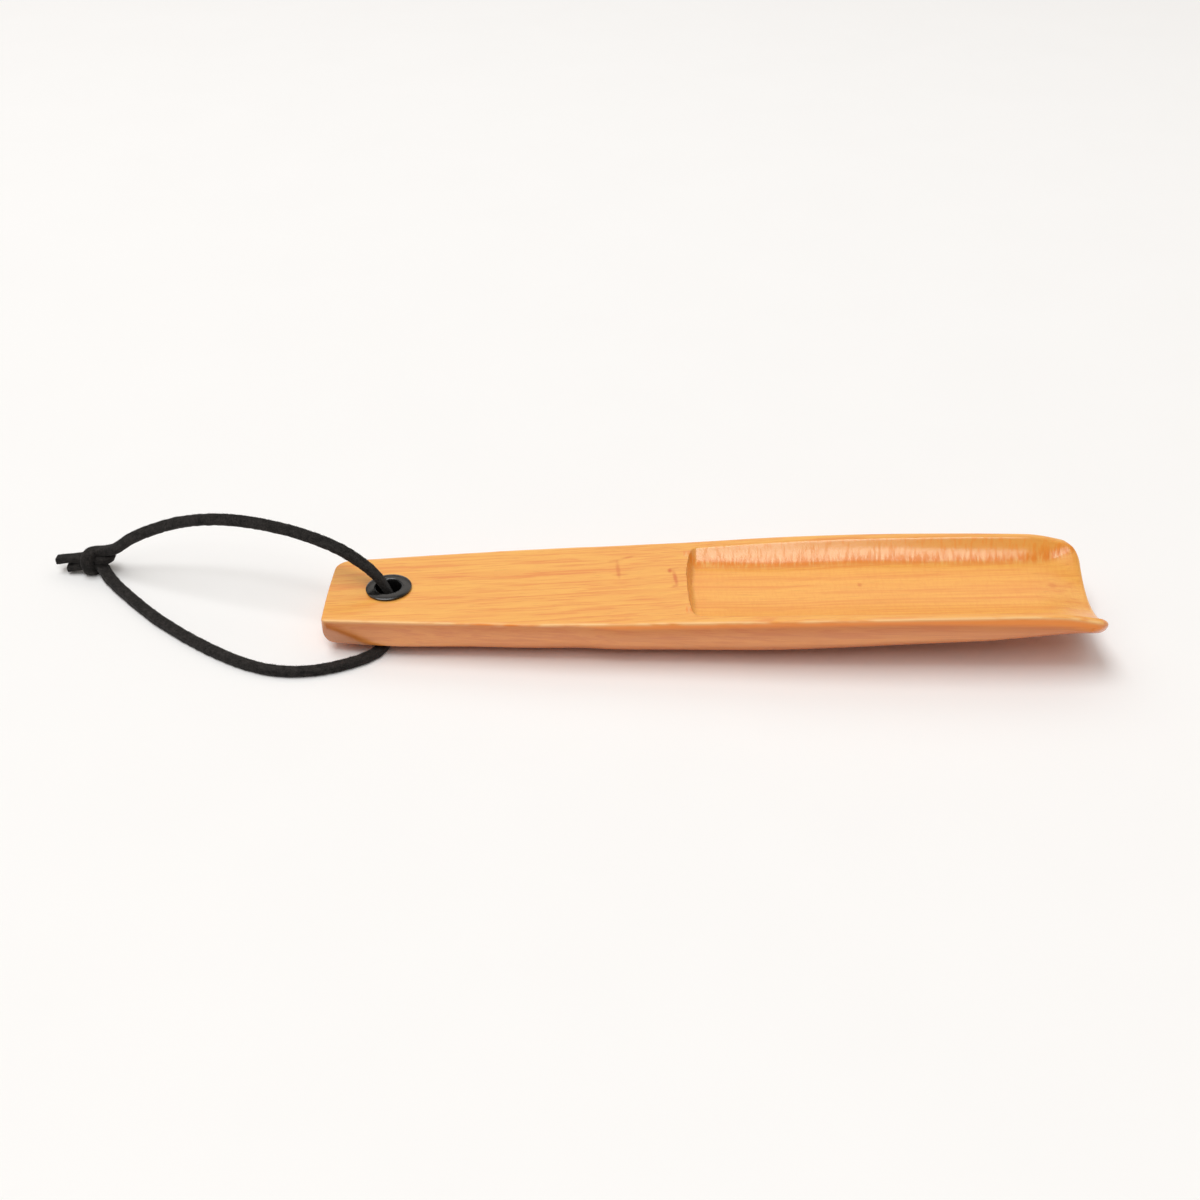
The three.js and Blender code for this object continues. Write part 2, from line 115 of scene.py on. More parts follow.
# Edges sharper than this stay sharp, in degrees
SMOOTH_ANGLE = 35

# Photograph's camera
LENS, SENSOR = 46.8, 36
CAMERA_PLACE = (-0.021394, -0.321475, 0.228672)
CAMERA_TURN = (55.5, 0, 1)


# Helpers for meshes

def mesh_object(name, points, faces, material):
    """A piece from points in millimetres."""
    mesh = bpy.data.meshes.new(name)
    mesh.from_pydata((np.asarray(points) * MM).tolist(), [], faces)
    mesh.validate()
    return placed(name, mesh, material)


def placed(name, mesh, material):
    """A piece from a mesh, smooth but for its sharp edges."""
    mesh.shade_smooth()
    mesh.set_sharp_from_angle(angle=math.radians(SMOOTH_ANGLE))
    mesh.materials.clear()
    mesh.materials.append(material)
    return in_scene(name, mesh)


def in_scene(name, data):
    """An object in the scene that shows a mesh, lamp or camera."""
    piece = bpy.data.objects.new(name, data)
    bpy.context.scene.collection.objects.link(piece)
    return piece


def plain_copy(piece):
    """The piece's evaluated shape as a plain mesh."""
    bpy.context.view_layer.update()
    evaluated = piece.evaluated_get(bpy.context.evaluated_depsgraph_get())
    return bpy.data.meshes.new_from_object(evaluated)


def discard(*pieces):
    for piece in pieces:
        bpy.data.objects.remove(piece)


def unit(vectors):
    return vectors / np.linalg.norm(vectors, axis=-1, keepdims=True)


def soft_min(a, b, reach):
    """The lower of two heights, with the crease between them rounded."""
    near = np.maximum(reach - np.abs(a - b), 0) / reach
    return np.minimum(a, b) - near ** 2 * reach / 4


def smooth_step(x, start, end):
    t = np.clip((x - start) / (end - start), 0, 1)
    return t * t * (3 - 2 * t)


def through(*pairs):
    """A smooth curve through (x, value) pairs that never swings past them."""
    xs, values = (np.array(column, float) for column in zip(*pairs))
    runs = np.diff(xs)
    rises = np.diff(values)
    secants = rises / runs
    before = np.concatenate((secants[:1], secants))
    after = np.concatenate((secants, secants[-1:]))
    total = np.where(before + after == 0, 1, before + after)
    slopes = np.where(before * after > 0, 2 * before * after / total, 0)

    def curve(x):
        i = np.clip(np.searchsorted(xs, x) - 1, 0, len(runs) - 1)
        t = np.clip((x - xs[i]) / runs[i], 0, 1)
        bend = (1 - t) * slopes[i] * runs[i] - t * slopes[i + 1] * runs[i] + (2 * t - 1) * rises[i]
        return values[i] + t * rises[i] + t * (1 - t) * bend

    return curve


def wander(points, wavelength, seed):
    """Smooth random values at points, about -1 to 1, from three octaves of noise."""
    shift = Vector((seed, 2 * seed, 3 * seed))
    return np.array([noise.fractal(Vector(p) / wavelength + shift, 1, 2, 3) for p in points])


# Helpers for materials

def operator(operation, reflected=False):
    """A Wire's operator, which adds a Math node."""
    def apply(self, other):
        values = (other, self) if reflected else (self, other)
        return self.math(operation, *values)

    return apply


class Wire:
    """An output socket that takes part in sums: each operator adds a Math node."""

    __add__, __radd__ = operator("ADD"), operator("ADD", True)
    __sub__, __rsub__ = operator("SUBTRACT"), operator("SUBTRACT", True)
    __mul__, __rmul__ = operator("MULTIPLY"), operator("MULTIPLY", True)
    __truediv__, __rtruediv__ = operator("DIVIDE"), operator("DIVIDE", True)
    __pow__ = operator("POWER")

    def __init__(self, bench, socket):
        self.bench = bench
        self.socket = socket

    def math(self, operation, *values):
        return self.bench.add("ShaderNodeMath", {"operation": operation}, dict(enumerate(values)))

    def beside(self, output):
        """Another output of the same node."""
        return Wire(self.bench, self.socket.node.outputs[output])

    def over(self, limit):
        """1 where greater than the limit, and 0 elsewhere."""
        return self.math("GREATER_THAN", self, limit)

    def between(self, start, end):
        """0 at start and 1 at end, eased, whichever of them is greater."""
        settings = {"interpolation_type": "SMOOTHSTEP"}
        if start > end:
            return 1 - self.between(end, start)
        return self.bench.add("ShaderNodeMapRange", settings, {0: self, 1: start, 2: end})


class Bench:
    """A node tree under construction."""

    def __init__(self, tree):
        self.nodes = tree.nodes
        self.links = tree.links

    def put(self, socket, value):
        if isinstance(value, Wire):
            self.links.new(value.socket, socket)
        else:
            socket.default_value = (*value, 1) if socket.type == "RGBA" else value

    def add(self, kind, settings=None, inputs=None, output=0):
        """A node of that kind: its settings first, then its sockets' values or links."""
        node = self.nodes.new(kind)
        for name, value in (settings or {}).items():
            setattr(node, name, value)
        for key, value in (inputs or {}).items():
            self.put(node.inputs[key], value)
        return Wire(self, node.outputs[output])

    def axes(self, vector):
        split = self.nodes.new("ShaderNodeSeparateXYZ")
        self.links.new(vector.socket, split.inputs[0])
        return [Wire(self, socket) for socket in split.outputs]

    def mix(self, share, a, b):
        settings = {"data_type": "RGBA", "clamp_factor": True}
        return self.add("ShaderNodeMix", settings, {0: share, 6: a, 7: b}, output=2)

    def ray(self, kind):
        """1 for rays of that kind and 0 for others."""
        return self.add("ShaderNodeLightPath", output=kind)


class Finish(Bench):
    """A material under construction on the Principled shader."""

    def __init__(self, name, **constants):
        self.material = bpy.data.materials.new(name)
        self.material.use_nodes = True
        super().__init__(self.material.node_tree)
        self.shader = self.nodes["Principled BSDF"]
        self.set(**constants)

    def set(self, **inputs):
        for name, value in inputs.items():
            self.put(self.shader.inputs[name.replace("_", " ")], value)

    def place(self):
        """Object coordinates in millimetres."""
        metres = self.add("ShaderNodeTexCoord", output="Object")
        return self.add("ShaderNodeVectorMath", {"operation": "SCALE"}, {0: metres, "Scale": PER_METRE})

    def noise(self, vector, lengths, detail=2, roughness=0.5, distortion=0):
        """Noise from 0 to 1 whose grain is as long as given, in millimetres, along each axis."""
        stretched = self.add("ShaderNodeVectorMath", {"operation": "DIVIDE"}, {0: vector, 1: lengths})
        inputs = {"Vector": stretched, "Scale": 1, "Detail": detail, "Roughness": roughness}
        return self.add("ShaderNodeTexNoise", None, {**inputs, "Distortion": distortion})

    def attribute(self, name):
        return self.add("ShaderNodeAttribute", {"attribute_name": name}, output="Fac")

    def bump(self, height, depth, below=None):
        """A Bump node for a height from 0 to 1 and a depth in millimetres, over an earlier one."""
        inputs = {"Height": height, "Distance": depth * MM, "Strength": 1}
        if below is not None:
            inputs["Normal"] = below
        return self.add("ShaderNodeBump", None, inputs)


# Camera

def photo_camera():
    data = bpy.data.cameras.new("photo_camera")
    data.lens = LENS
    data.sensor_width = SENSOR
    camera = in_scene("photo_camera", data)
    camera.location = CAMERA_PLACE
    camera.rotation_euler = [math.radians(angle) for angle in CAMERA_TURN]
    bpy.context.scene.camera = camera


photo_camera()


# Lace: stops along each strand, as (place, way its broad face looks, how far it is squeezed)

UP = (0, 0, 1)
TWISTED = (1, -1, 0)
LEANING = (0, -0.6, 0.8)


def free(back, farward, height, face=UP):
    """A stop on a free strand: back from the hole, towards the far side, and over the table."""
    return (EYELET_X - back, farward, height), face, 0


def knotted(tailward, farward, upward, face=UP, tightness=1):
    """A stop in the knot: towards the tails, towards the far side and up, from the knot's centre."""
    return KNOT_CENTRE + (-tailward, farward, upward), (-face[0], face[1], face[2]), tightness


UPPER_STOPS = (
    free(0, 0, HOLE_MIDDLE + HALF_END_GAP, TWISTED),
    free(0, 0, HOLE_MIDDLE + LACE_BEND, (1, 0, 0)),
    free(0.8, 0.3, 10.6, (1, 0, 0)),
    free(3.5, 1.4, 14, (0.8, -0.2, 0.6)),
    free(8.6, 3.4, 17.4, (0.5, -0.4, 0.8)),
    free(15.3, 5.9, 19.8, LEANING),
    free(25.8, 9.7, 21.3, LEANING),
    free(36.6, 13, 21.6, LEANING),
    free(45.3, 15.2, 20.9, LEANING),
    free(55.1, 17.5, 18.6, LEANING),
    free(63.3, 19.2, 15.2, LEANING),
    free(69.8, 20.6, 11.6, LEANING),
    knotted(-6.2, -0.9, 4.6, (0, -0.4, 0.9), 0.4),
    knotted(-3.4, -0.1, 3.3),
    knotted(-1.2, 0.3, 2.85),
    knotted(0.5, 0.05, 2.65, (0, -0.2, 1)),
    knotted(1.45, -1.25, 2.45, (0.1, -0.45, 0.9)),
    knotted(1.9, -2.4, 1.1, (0.1, -0.9, 0.35)),
    knotted(1.75, -2.35, -0.6, (0, -1, -0.2)),
    knotted(1.35, -1.75, -2.1, (0, -0.65, -0.75)),
    knotted(0.7, -0.1, -2.6, (0, 0, -1)),
    knotted(0, 1.5, -2.05, (0, 0.6, -0.8)),
    knotted(-0.7, 2.35, -0.75, (0, 0.95, -0.3)),
    knotted(-1.4, 2.35, 0.6, (-0.2, 0.95, 0.3)),
    knotted(-2.4, 1.95, 1.2, (-0.5, 0.5, 0.7)),
    knotted(-3.3, 0.95, 1.3, (-0.5, 0.1, 0.85)),
    knotted(-3.1, -0.35, 1.2, (-0.3, -0.3, 0.9)),
    knotted(-1.9, -0.8, 1.02, (0, -0.1, 1)),
    knotted(-0.2, -0.35, 0.95),
    knotted(1.8, -0.05, 0.9),
    knotted(3.7, 0.1, 0.8),
    knotted(6, 0.3, 0.55, UP, 0),
    knotted(8.4, 0.45, 0.25, UP, 0),
    knotted(10.6, 0.5, -0.1, UP, 0),
)

BEND_SHARE = math.sqrt(0.5)
LOWER_STOPS = (
    free(0, 0, HOLE_MIDDLE - HALF_END_GAP, TWISTED),
    free(0, 0, LACE_LIE + LACE_BEND, (0, -1, 0)),
    free(0, (BEND_SHARE - 1) * LACE_BEND, LACE_LIE + (1 - BEND_SHARE) * LACE_BEND, (0, -1, 1)),
    free(0, -LACE_BEND, LACE_LIE),
    free(0, -6, LACE_LIE),
    free(0.9, -12, LACE_LIE),
    free(4.2, -16, LACE_LIE),
    free(9.8, -19.3, LACE_LIE),
    free(15.9, -21.4, LACE_LIE),
    free(22.3, -22, LACE_LIE),
    free(29.1, -20.8, LACE_LIE),
    free(36.3, -17.6, LACE_LIE),
    free(44, -12.8, LACE_LIE),
    free(51.9, -7, LACE_LIE),
    free(60.5, 0.3, LACE_LIE),
    free(68.1, 8, LACE_LIE),
    knotted(-7.4, -8.7, -2.2, UP, 0.3),
    knotted(-4.3, -4.9, -2, UP, 0.8),
    knotted(-2.3, -2.2, -1.35),
    knotted(-0.7, -0.6, -0.88),
    knotted(0.9, 0, -0.8),
    knotted(2.6, -0.1, -0.82),
    knotted(4.4, -0.35, -1.25, UP, 0.6),
    knotted(6, -0.45, -1.65, UP, 0),
    knotted(7.7, -0.5, -1.85, UP, 0),
)


def through_stops(points, steps):
    """A centripetal Catmull-Rom curve through points, with so many steps between each two."""
    points = np.asarray(points, float).reshape(len(points), -1)
    ends = np.vstack((2 * points[:1] - points[1:2], points, 2 * points[-1:] - points[-2:-1]))
    t = np.arange(steps)[:, None] / steps
    made = []
    for p0, p1, p2, p3 in zip(ends, ends[1:], ends[2:], ends[3:]):
        here = math.sqrt(np.linalg.norm(p2 - p1)) or 1
        before = math.sqrt(np.linalg.norm(p1 - p0)) or here
        after = math.sqrt(np.linalg.norm(p3 - p2)) or here
        leave = here * ((p1 - p0) / before - (p2 - p0) / (before + here) + (p2 - p1) / here)
        reach = here * ((p2 - p1) / here - (p3 - p1) / (here + after) + (p3 - p2) / after)
        square = 3 * (p2 - p1) - 2 * leave - reach
        cube = 2 * (p1 - p2) + leave + reach
        made.append(p1 + t * leave + t ** 2 * square + t ** 3 * cube)
    return np.vstack((*made, points[-1:]))


def evenly(curve, values, step):
    """The curve's points, and values along with them, laid out again at an even step."""
    run = np.concatenate(((0,), np.cumsum(np.linalg.norm(np.diff(curve, axis=0), axis=1))))
    at = np.linspace(0, run[-1], round(run[-1] / step) + 1)
    spread = [np.stack([np.interp(at, run, column) for column in array.T], axis=1)
              for array in (curve, *values)]
    return (*spread, run[-1])


STOP_STEPS = 12
LACE_STEP = 0.35
LACE_SIDES = 24
LACE_SQUARENESS = 4
LACE_UNEVEN = 0.07
LACE_NAP_WAVE = 1.6
LACE_END_SOFT = 0.25


def lace(name, stops, node, material, bare, seed):
    """One strand of the lace, swept along its stops and cut square at its ends, with its nap."""
    places, faces, tightness = zip(*stops)
    path = through_stops(places, STOP_STEPS)
    looks = through_stops(unit(np.array(faces, float)), STOP_STEPS)
    squeeze = through_stops(tightness, STOP_STEPS)
    path, looks, squeeze, length = evenly(path, (looks, squeeze), LACE_STEP)
    along = unit(np.gradient(path, axis=0))
    across = unit(np.cross(looks, along))
    outward = np.cross(along, across)
    width = LACE_WIDTH / 2 * (1 + squeeze * (KNOT_WIDTH_SHARE - 1))
    thickness = LACE_THICKNESS / 2 * (1 + squeeze * (KNOT_THICKNESS_SHARE - 1))

    angle = np.arange(LACE_SIDES) / LACE_SIDES * math.tau
    power = 2 / LACE_SQUARENESS
    wide = np.sign(np.cos(angle)) * np.abs(np.cos(angle)) ** power
    thick = np.sign(np.sin(angle)) * np.abs(np.sin(angle)) ** power
    rings = (path[:, None] + across[:, None] * (width * wide)[..., None]
             + outward[:, None] * (thickness * thick)[..., None])
    bumps = wander(rings.reshape(-1, 3), LACE_NAP_WAVE, seed).reshape(len(rings), LACE_SIDES, 1)
    rings = rings + (rings - path[:, None]) * bumps * LACE_UNEVEN
    rings[..., 2] = np.maximum(rings[..., 2], LACE_LIE - LACE_THICKNESS / 2)

    points = [*rings.reshape(-1, 3)]
    faces = ring_faces(len(rings), LACE_SIDES)
    last = (len(rings) - 1) * LACE_SIDES
    for ring, first, turned in ((rings[0], 0, True), (rings[-1], last, False)):
        inner = len(points)
        middle = ring.mean(axis=0)
        points.extend(ring + (middle - ring) * LACE_END_SOFT)
        points.append(middle)
        for j in range(LACE_SIDES):
            k = (j + 1) % LACE_SIDES
            strip = [first + j, first + k, inner + k, inner + j]
            wedge = [inner + j, inner + k, inner + LACE_SIDES]
            faces.extend((strip[::-1], wedge[::-1]) if turned else (strip, wedge))
    piece = mesh_object(name, points, faces, material)
    nap = suede_nap(piece, material, bare, seed)
    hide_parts(node)
    for part in (piece, nap):
        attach(part, "hang_loop")


def ring_faces(rings, count):
    """Quads of a tube of rings, facing out where each ring turns to the right as seen along it."""
    faces = []
    for i in range(rings - 1):
        for j in range(count):
            k = (j + 1) % count
            faces.append([i * count + j, i * count + k, (i + 1) * count + k, (i + 1) * count + j])
    return faces


# Nap of the suede: short bent fibres scattered over a strand by a node tree. A fibre's levels are shares of
# its height, radius and lean. The handle covers the lower strand out to a distance from the lace hole's axis.

FIBRE_LENGTH = 0.32
SHORTEST_FIBRE, LONGEST_FIBRE = 0.35, 1.25
FIBRE_LEVELS = ((0, 1, 0), (0.55, 0.7, 0.35))
FIBRE_RADIUS = 0.017
FIBRE_BEND = 0.45
FIBRE_TILT = 1.1
FIBRES_PER_MM2 = 15
LOWEST_FACING = -0.35
UNDER_HANDLE = 15
NAP_INPUTS = (
    ("Strand", "NodeSocketGeometry"), ("Fibre", "NodeSocketObject"),
    ("Fibres per square metre", "NodeSocketFloat"), ("Bare within", "NodeSocketFloat"),
    ("Seed", "NodeSocketInt"),
)


def suede_fibre():
    """One fibre along +Z: a closed, bent, three-sided spike."""
    points = []
    for height, radius, lean in FIBRE_LEVELS:
        for j in range(3):
            angle = j / 3 * math.tau
            x = radius * FIBRE_RADIUS * math.cos(angle) + lean * FIBRE_BEND * FIBRE_LENGTH
            points.append((x, radius * FIBRE_RADIUS * math.sin(angle), height * FIBRE_LENGTH))
    points.append((FIBRE_BEND * FIBRE_LENGTH, 0, FIBRE_LENGTH))
    faces = [(2, 1, 0)]
    for j in range(3):
        k = (j + 1) % 3
        faces.extend(((j, k, 3 + k, 3 + j), (3 + j, 3 + k, 6)))
    return mesh_object("suede_fibre", points, faces, None)


def nap_tree(material):
    """Points over the faces that don't look down, away from the hole, a turned and scaled fibre on each."""
    tree = bpy.data.node_groups.new("suede_nap", "GeometryNodeTree")
    for name, kind in NAP_INPUTS:
        tree.interface.new_socket(name, in_out="INPUT", socket_type=kind)
    tree.interface.new_socket("Nap", in_out="OUTPUT", socket_type="NodeSocketGeometry")
    bench = Bench(tree)
    add = bench.add

    def given(name):
        return add("NodeGroupInput", output=name)

    upward = bench.axes(add("GeometryNodeInputNormal"))[2]
    place = add("GeometryNodeInputPosition")
    level = add("ShaderNodeVectorMath", {"operation": "MULTIPLY"}, {0: place, 1: (1, 1, 0)})
    axis = (EYELET_X * MM, 0, 0)
    away = add("ShaderNodeVectorMath", {"operation": "DISTANCE"}, {0: level, 1: axis}, output="Value")
    points = add("GeometryNodeDistributePointsOnFaces", None, {
        "Mesh": given("Strand"), "Selection": upward.over(LOWEST_FACING) * away.over(given("Bare within")),
        "Density": given("Fibres per square metre"), "Seed": given("Seed"),
    })
    turn = add("FunctionNodeRandomValue", {"data_type": "FLOAT_VECTOR"}, {
        "Min": (-FIBRE_TILT, -FIBRE_TILT, -math.pi), "Max": (FIBRE_TILT, FIBRE_TILT, math.pi),
        "Seed": given("Seed"),
    })
    angle = add("FunctionNodeEulerToRotation", None, {0: turn})
    turned = add("FunctionNodeRotateRotation", {"rotation_space": "LOCAL"}, {
        "Rotation": points.beside("Rotation"), "Rotate By": angle,
    })
    length = add("FunctionNodeRandomValue", {"data_type": "FLOAT"}, {
        2: SHORTEST_FIBRE, 3: LONGEST_FIBRE, "Seed": given("Seed"),
    }, output=1)
    fibre = add("GeometryNodeObjectInfo", None, {"Object": given("Fibre")}, output="Geometry")
    instances = add("GeometryNodeInstanceOnPoints", None, {
        "Points": points, "Instance": fibre, "Rotation": turned, "Scale": length,
    })
    realized = add("GeometryNodeRealizeInstances", None, {0: instances})
    coloured = add("GeometryNodeSetMaterial", None, {0: realized, "Material": material})
    bench.put(tree.nodes.new("NodeGroupOutput").inputs[0], coloured)
    return tree


def suede_nap(strand, material, bare, seed):
    """Nap over a strand, but for what lies within a distance of the lace hole's axis."""
    carrier = in_scene("nap_carrier", strand.data.copy())
    fibre = suede_fibre()
    modifier = carrier.modifiers.new("nap", "NODES")
    tree = nap_tree(material)
    modifier.node_group = tree
    density = FIBRES_PER_MM2 * PER_METRE ** 2
    values = {"Fibre": fibre, "Fibres per square metre": density, "Bare within": bare * MM, "Seed": seed}
    for item in tree.interface.items_tree:
        if item.name in values:
            modifier[item.identifier] = values[item.name]
    mesh = plain_copy(carrier)
    discard(carrier, fibre)
    for vertex in mesh.vertices:
        vertex.co.z = max(vertex.co.z, 0)
    return placed(strand.name + "_nap", mesh, material)


SUEDE_DARK = (0.005, 0.0045, 0.004)
SUEDE_PALE = (0.040, 0.035, 0.032)
FUZZ_DEPTH = 0.12


def suede():
    """Black suede: matt, with a soft mottle from the way its nap lies."""
    finish = Finish(
        "black_suede", Roughness=0.92, Sheen_Weight=0.06, Sheen_Roughness=0.5, Specular_IOR_Level=0.2,
    )
    place = finish.place()
    lay = finish.noise(place, (1.4, 1.4, 1.4), 3, 0.6)
    fuzz = finish.noise(place, (0.3, 0.3, 0.3), 3, 0.7)
    tone = (lay * 0.35 + fuzz * 0.65).between(0.36, 0.66)
    finish.set(Base_Color=finish.mix(tone, SUEDE_DARK, SUEDE_PALE))
    finish.set(Normal=finish.bump(fuzz, FUZZ_DEPTH))
    return finish.material


black_suede = suede()
lace("lace_upper_strand", UPPER_STOPS, "lace_upper", black_suede, 0, 3)
lace("lace_lower_strand", LOWER_STOPS, "lace_lower", black_suede, UNDER_HANDLE, 8)


# Body: heights and widths along it

half_width = through(
    (HANDLE_END, 26.3 / 2), (GRIP_X, 31.9 / 2), (WAIST_X, 34 / 2), (LIP_X, 36.1 / 2),
    (BELLY_END_X, 37.6 / 2), (WIDEST_X, 38.4 / 2), (THIN_X, 37.3 / 2), (TIP, 36.4 / 2),
)
top_height = through(
    (HANDLE_END, END_TOP),
    (GRIP_X, END_TOP + HANDLE_SLOPE * (GRIP_X - HANDLE_END)),
    (WAIST_X, END_TOP + HANDLE_SLOPE * (WAIST_X - HANDLE_END)),
    (LIP_X, 13.65), (BELLY_END_X, 14.8), (WIDEST_X, 15.9), (THIN_X, 16.8), (TIP, TIP_TOP),
)
under_height = through(
    (HANDLE_END, 2.7), (EYELET_X, EYELET_UNDER), (GRIP_X, 0.9), (WAIST_X, 0),
    (BELLY_END_X, 0), (WIDEST_X, 1.5), (THIN_X, 5.6), (TIP, 6.95),
)
side_round = through(
    (HANDLE_END, 1.3), (EYELET_X, 1.8), (GRIP_X, 7.5), (WAIST_X, 10.6), (LIP_X, 12.9),
    (WIDEST_X, 16.2), (THIN_X, 16.2), (TIP, 17.6),
)
fullness = through((THIN_X - 14, 2), (TIP, 1.35))
rim_width = through((LIP_X, 2.9), (WIDEST_X, 2.2), (THIN_X, 1.6), (TIP, 1.3))
floor_height = through(
    (LIP_X, 9.5), (BELLY_END_X, 9.3), (WIDEST_X, 9.9), (THIN_X, 10), (TIP, TIP_FLOOR),
)
dish_height = through((LIP_X, 1.3), (WIDEST_X, 1.9), (THIN_X, 2.8), (TIP, TIP_TOP - TIP_FLOOR))
wall_slope = through((LIP_X, 1.15), (THIN_X, 1.48))
cove_reach = through((THIN_X, 2.8), (TIP, 0.3))
bevel_width = through(
    (BEVEL_X, EDGE_OUT), (BEVEL_X + BEVEL_RUN, BEVEL_OUT),
    (WIDEST_X, BEVEL_OUT), (THIN_X, TIP_BEVEL_OUT),
)
bevel_height = through(
    (BEVEL_X, EDGE_DROP), (BEVEL_X + BEVEL_RUN, BEVEL_DROP),
    (WIDEST_X, BEVEL_DROP), (THIN_X, TIP_BEVEL_DROP),
)

# Columns of points across half of the body: scoop, rim, bevel with its two soft edges.
# The lower half has as many, so that both ends close in upright strips.
SCOOP_COLUMNS, RIM_COLUMNS, SOFT_COLUMNS, BEVEL_COLUMNS = 44, 9, 6, 6
LOWER_ARC_COLUMNS = 8
COLUMN_CROWDING = 1.5
FOOT_GAP = 0.05
LIP_WANDER, LIP_WAVE = 0.2, 7
LIP_BULGE, LIP_BULGE_HALF = 0.7, 14


def lip_place(y):
    """Where the step's edge lies: a hand-cut line that bulges to the handle and wanders a little."""
    lines = np.stack((y, np.zeros_like(y), np.zeros_like(y)), axis=-1)
    drift = wander(lines.reshape(-1, 3), LIP_WAVE, 5).reshape(y.shape)
    bulge = LIP_BULGE * ((y / LIP_BULGE_HALF) ** 2 - 0.5)
    return LIP_X + LIP_WANDER * drift + np.clip(bulge, -LIP_BULGE, LIP_BULGE)


def around(corner, before, after, reach, t):
    """Points round a corner that is rubbed soft: a curve from one side of it to the other."""
    start = corner + reach * unit(before - corner)
    end = corner + reach * unit(after - corner)
    return (1 - t) ** 2 * start + 2 * t * (1 - t) * corner + t ** 2 * end


def bevel_at(x):
    """Distance across to the bevel's foot, and the bevel's drop."""
    return half_width(x) + bevel_width(x), bevel_height(x)


def rubbed(x, soft):
    """How far an edge of the bevel is rubbed soft, which the bevel's own slant limits."""
    return np.minimum(soft, EDGE_SOFT_SHARE * np.hypot(bevel_width(x), bevel_height(x)))


def side_top(x):
    """Height at which the side below the bevel begins."""
    return top_height(x) - bevel_height(x) - rubbed(x, FOOT_SOFT) - FOOT_GAP


def scoop_parts(x, y):
    """Heights of the scoop's dished floor and of its leaning wall."""
    half = half_width(x) - rim_width(x)
    dish = floor_height(x) + dish_height(x) * (y / half) ** 2
    wall = top_height(x) - wall_slope(x) * (half - y)
    return dish, wall


def scoop_height(x, y, lip):
    """Height of the scoop: a dished floor, leaning walls, coves between, the step and lifted corners."""
    half = half_width(x) - rim_width(x)
    dish, wall = scoop_parts(x, y)
    reach = cove_reach(x)
    cove = np.maximum(0, reach - np.abs(dish - wall)) ** 2 / (4 * reach)
    step = np.maximum(0, (lip + STEP_RUN - x) / STEP_RUN) ** STEP_SQUARENESS
    skewed = x + CORNER_LIFT_SKEW * (y - half)
    stop = TIP - CORNER_LIFT_STOP
    at_tip = smooth_step(skewed, stop - CORNER_LIFT_RUN, stop)
    at_side = smooth_step(y, CORNER_LIFT_INNER * half, CORNER_LIFT_OUTER * half)
    drop = top_height(x) - floor_height(x)
    return np.maximum(dish, wall) + cove + drop * step + CORNER_LIFT * at_tip * at_side


def upper_half(x, hand):
    """Half of the top from the middle to the bevel's foot, as y and z for the x of every column."""
    top = top_height(x)
    edge = half_width(x)
    side, drop = bevel_at(x)
    ridge = np.stack((edge, top), axis=-1)
    foot = np.stack((side, top - drop), axis=-1)
    inside = np.stack((np.zeros_like(x), top), axis=-1)
    below = np.stack((side, np.zeros_like(x)), axis=-1)
    slant = np.hypot(side - edge, drop)[..., None]
    ridge_soft = rubbed(x, RIDGE_SOFT)[..., None]
    foot_soft = rubbed(x, FOOT_SOFT)[..., None]

    a = SCOOP_COLUMNS
    b = a + RIM_COLUMNS
    c = b + SOFT_COLUMNS
    d = c + BEVEL_COLUMNS
    y = np.empty_like(x)
    z = np.empty_like(x)
    scoop_half = edge - rim_width(x)
    scoop_share = 1 - np.linspace(1, 0, SCOOP_COLUMNS, endpoint=False) ** COLUMN_CROWDING
    rim_share = np.linspace(0, 1, RIM_COLUMNS, endpoint=False)
    y[:, :a] = scoop_half[:, :a] * scoop_share
    y[:, a:b] = scoop_half[:, a:b] + (edge - ridge_soft[..., 0] - scoop_half)[:, a:b] * rim_share
    inner = slice(0, b)
    scoop = scoop_height(x[:, inner], y[:, inner], lip_place(hand * y[:, inner]))
    z[:, inner] = soft_min(top[:, inner], scoop, RIM_SOFT)

    t = np.linspace(0, 1, SOFT_COLUMNS)[:, None]
    edges = (
        (slice(b, c), inside, ridge, foot, ridge_soft),
        (slice(d, None), ridge, foot, below, foot_soft),
    )
    for part, before, corner, after, soft in edges:
        curve = around(corner[:, part], before[:, part], after[:, part], soft[:, part], t)
        y[:, part], z[:, part] = curve[..., 0], curve[..., 1]
    part = slice(c, d)
    t = np.linspace(0, 1, BEVEL_COLUMNS + 2)[1:-1, None]
    start = (ridge_soft / slant)[:, part]
    end = 1 - (foot_soft / slant)[:, part]
    line = ridge[:, part] + (foot - ridge)[:, part] * (start + (end - start) * t)
    y[:, part], z[:, part] = line[..., 0], line[..., 1]
    return y, z


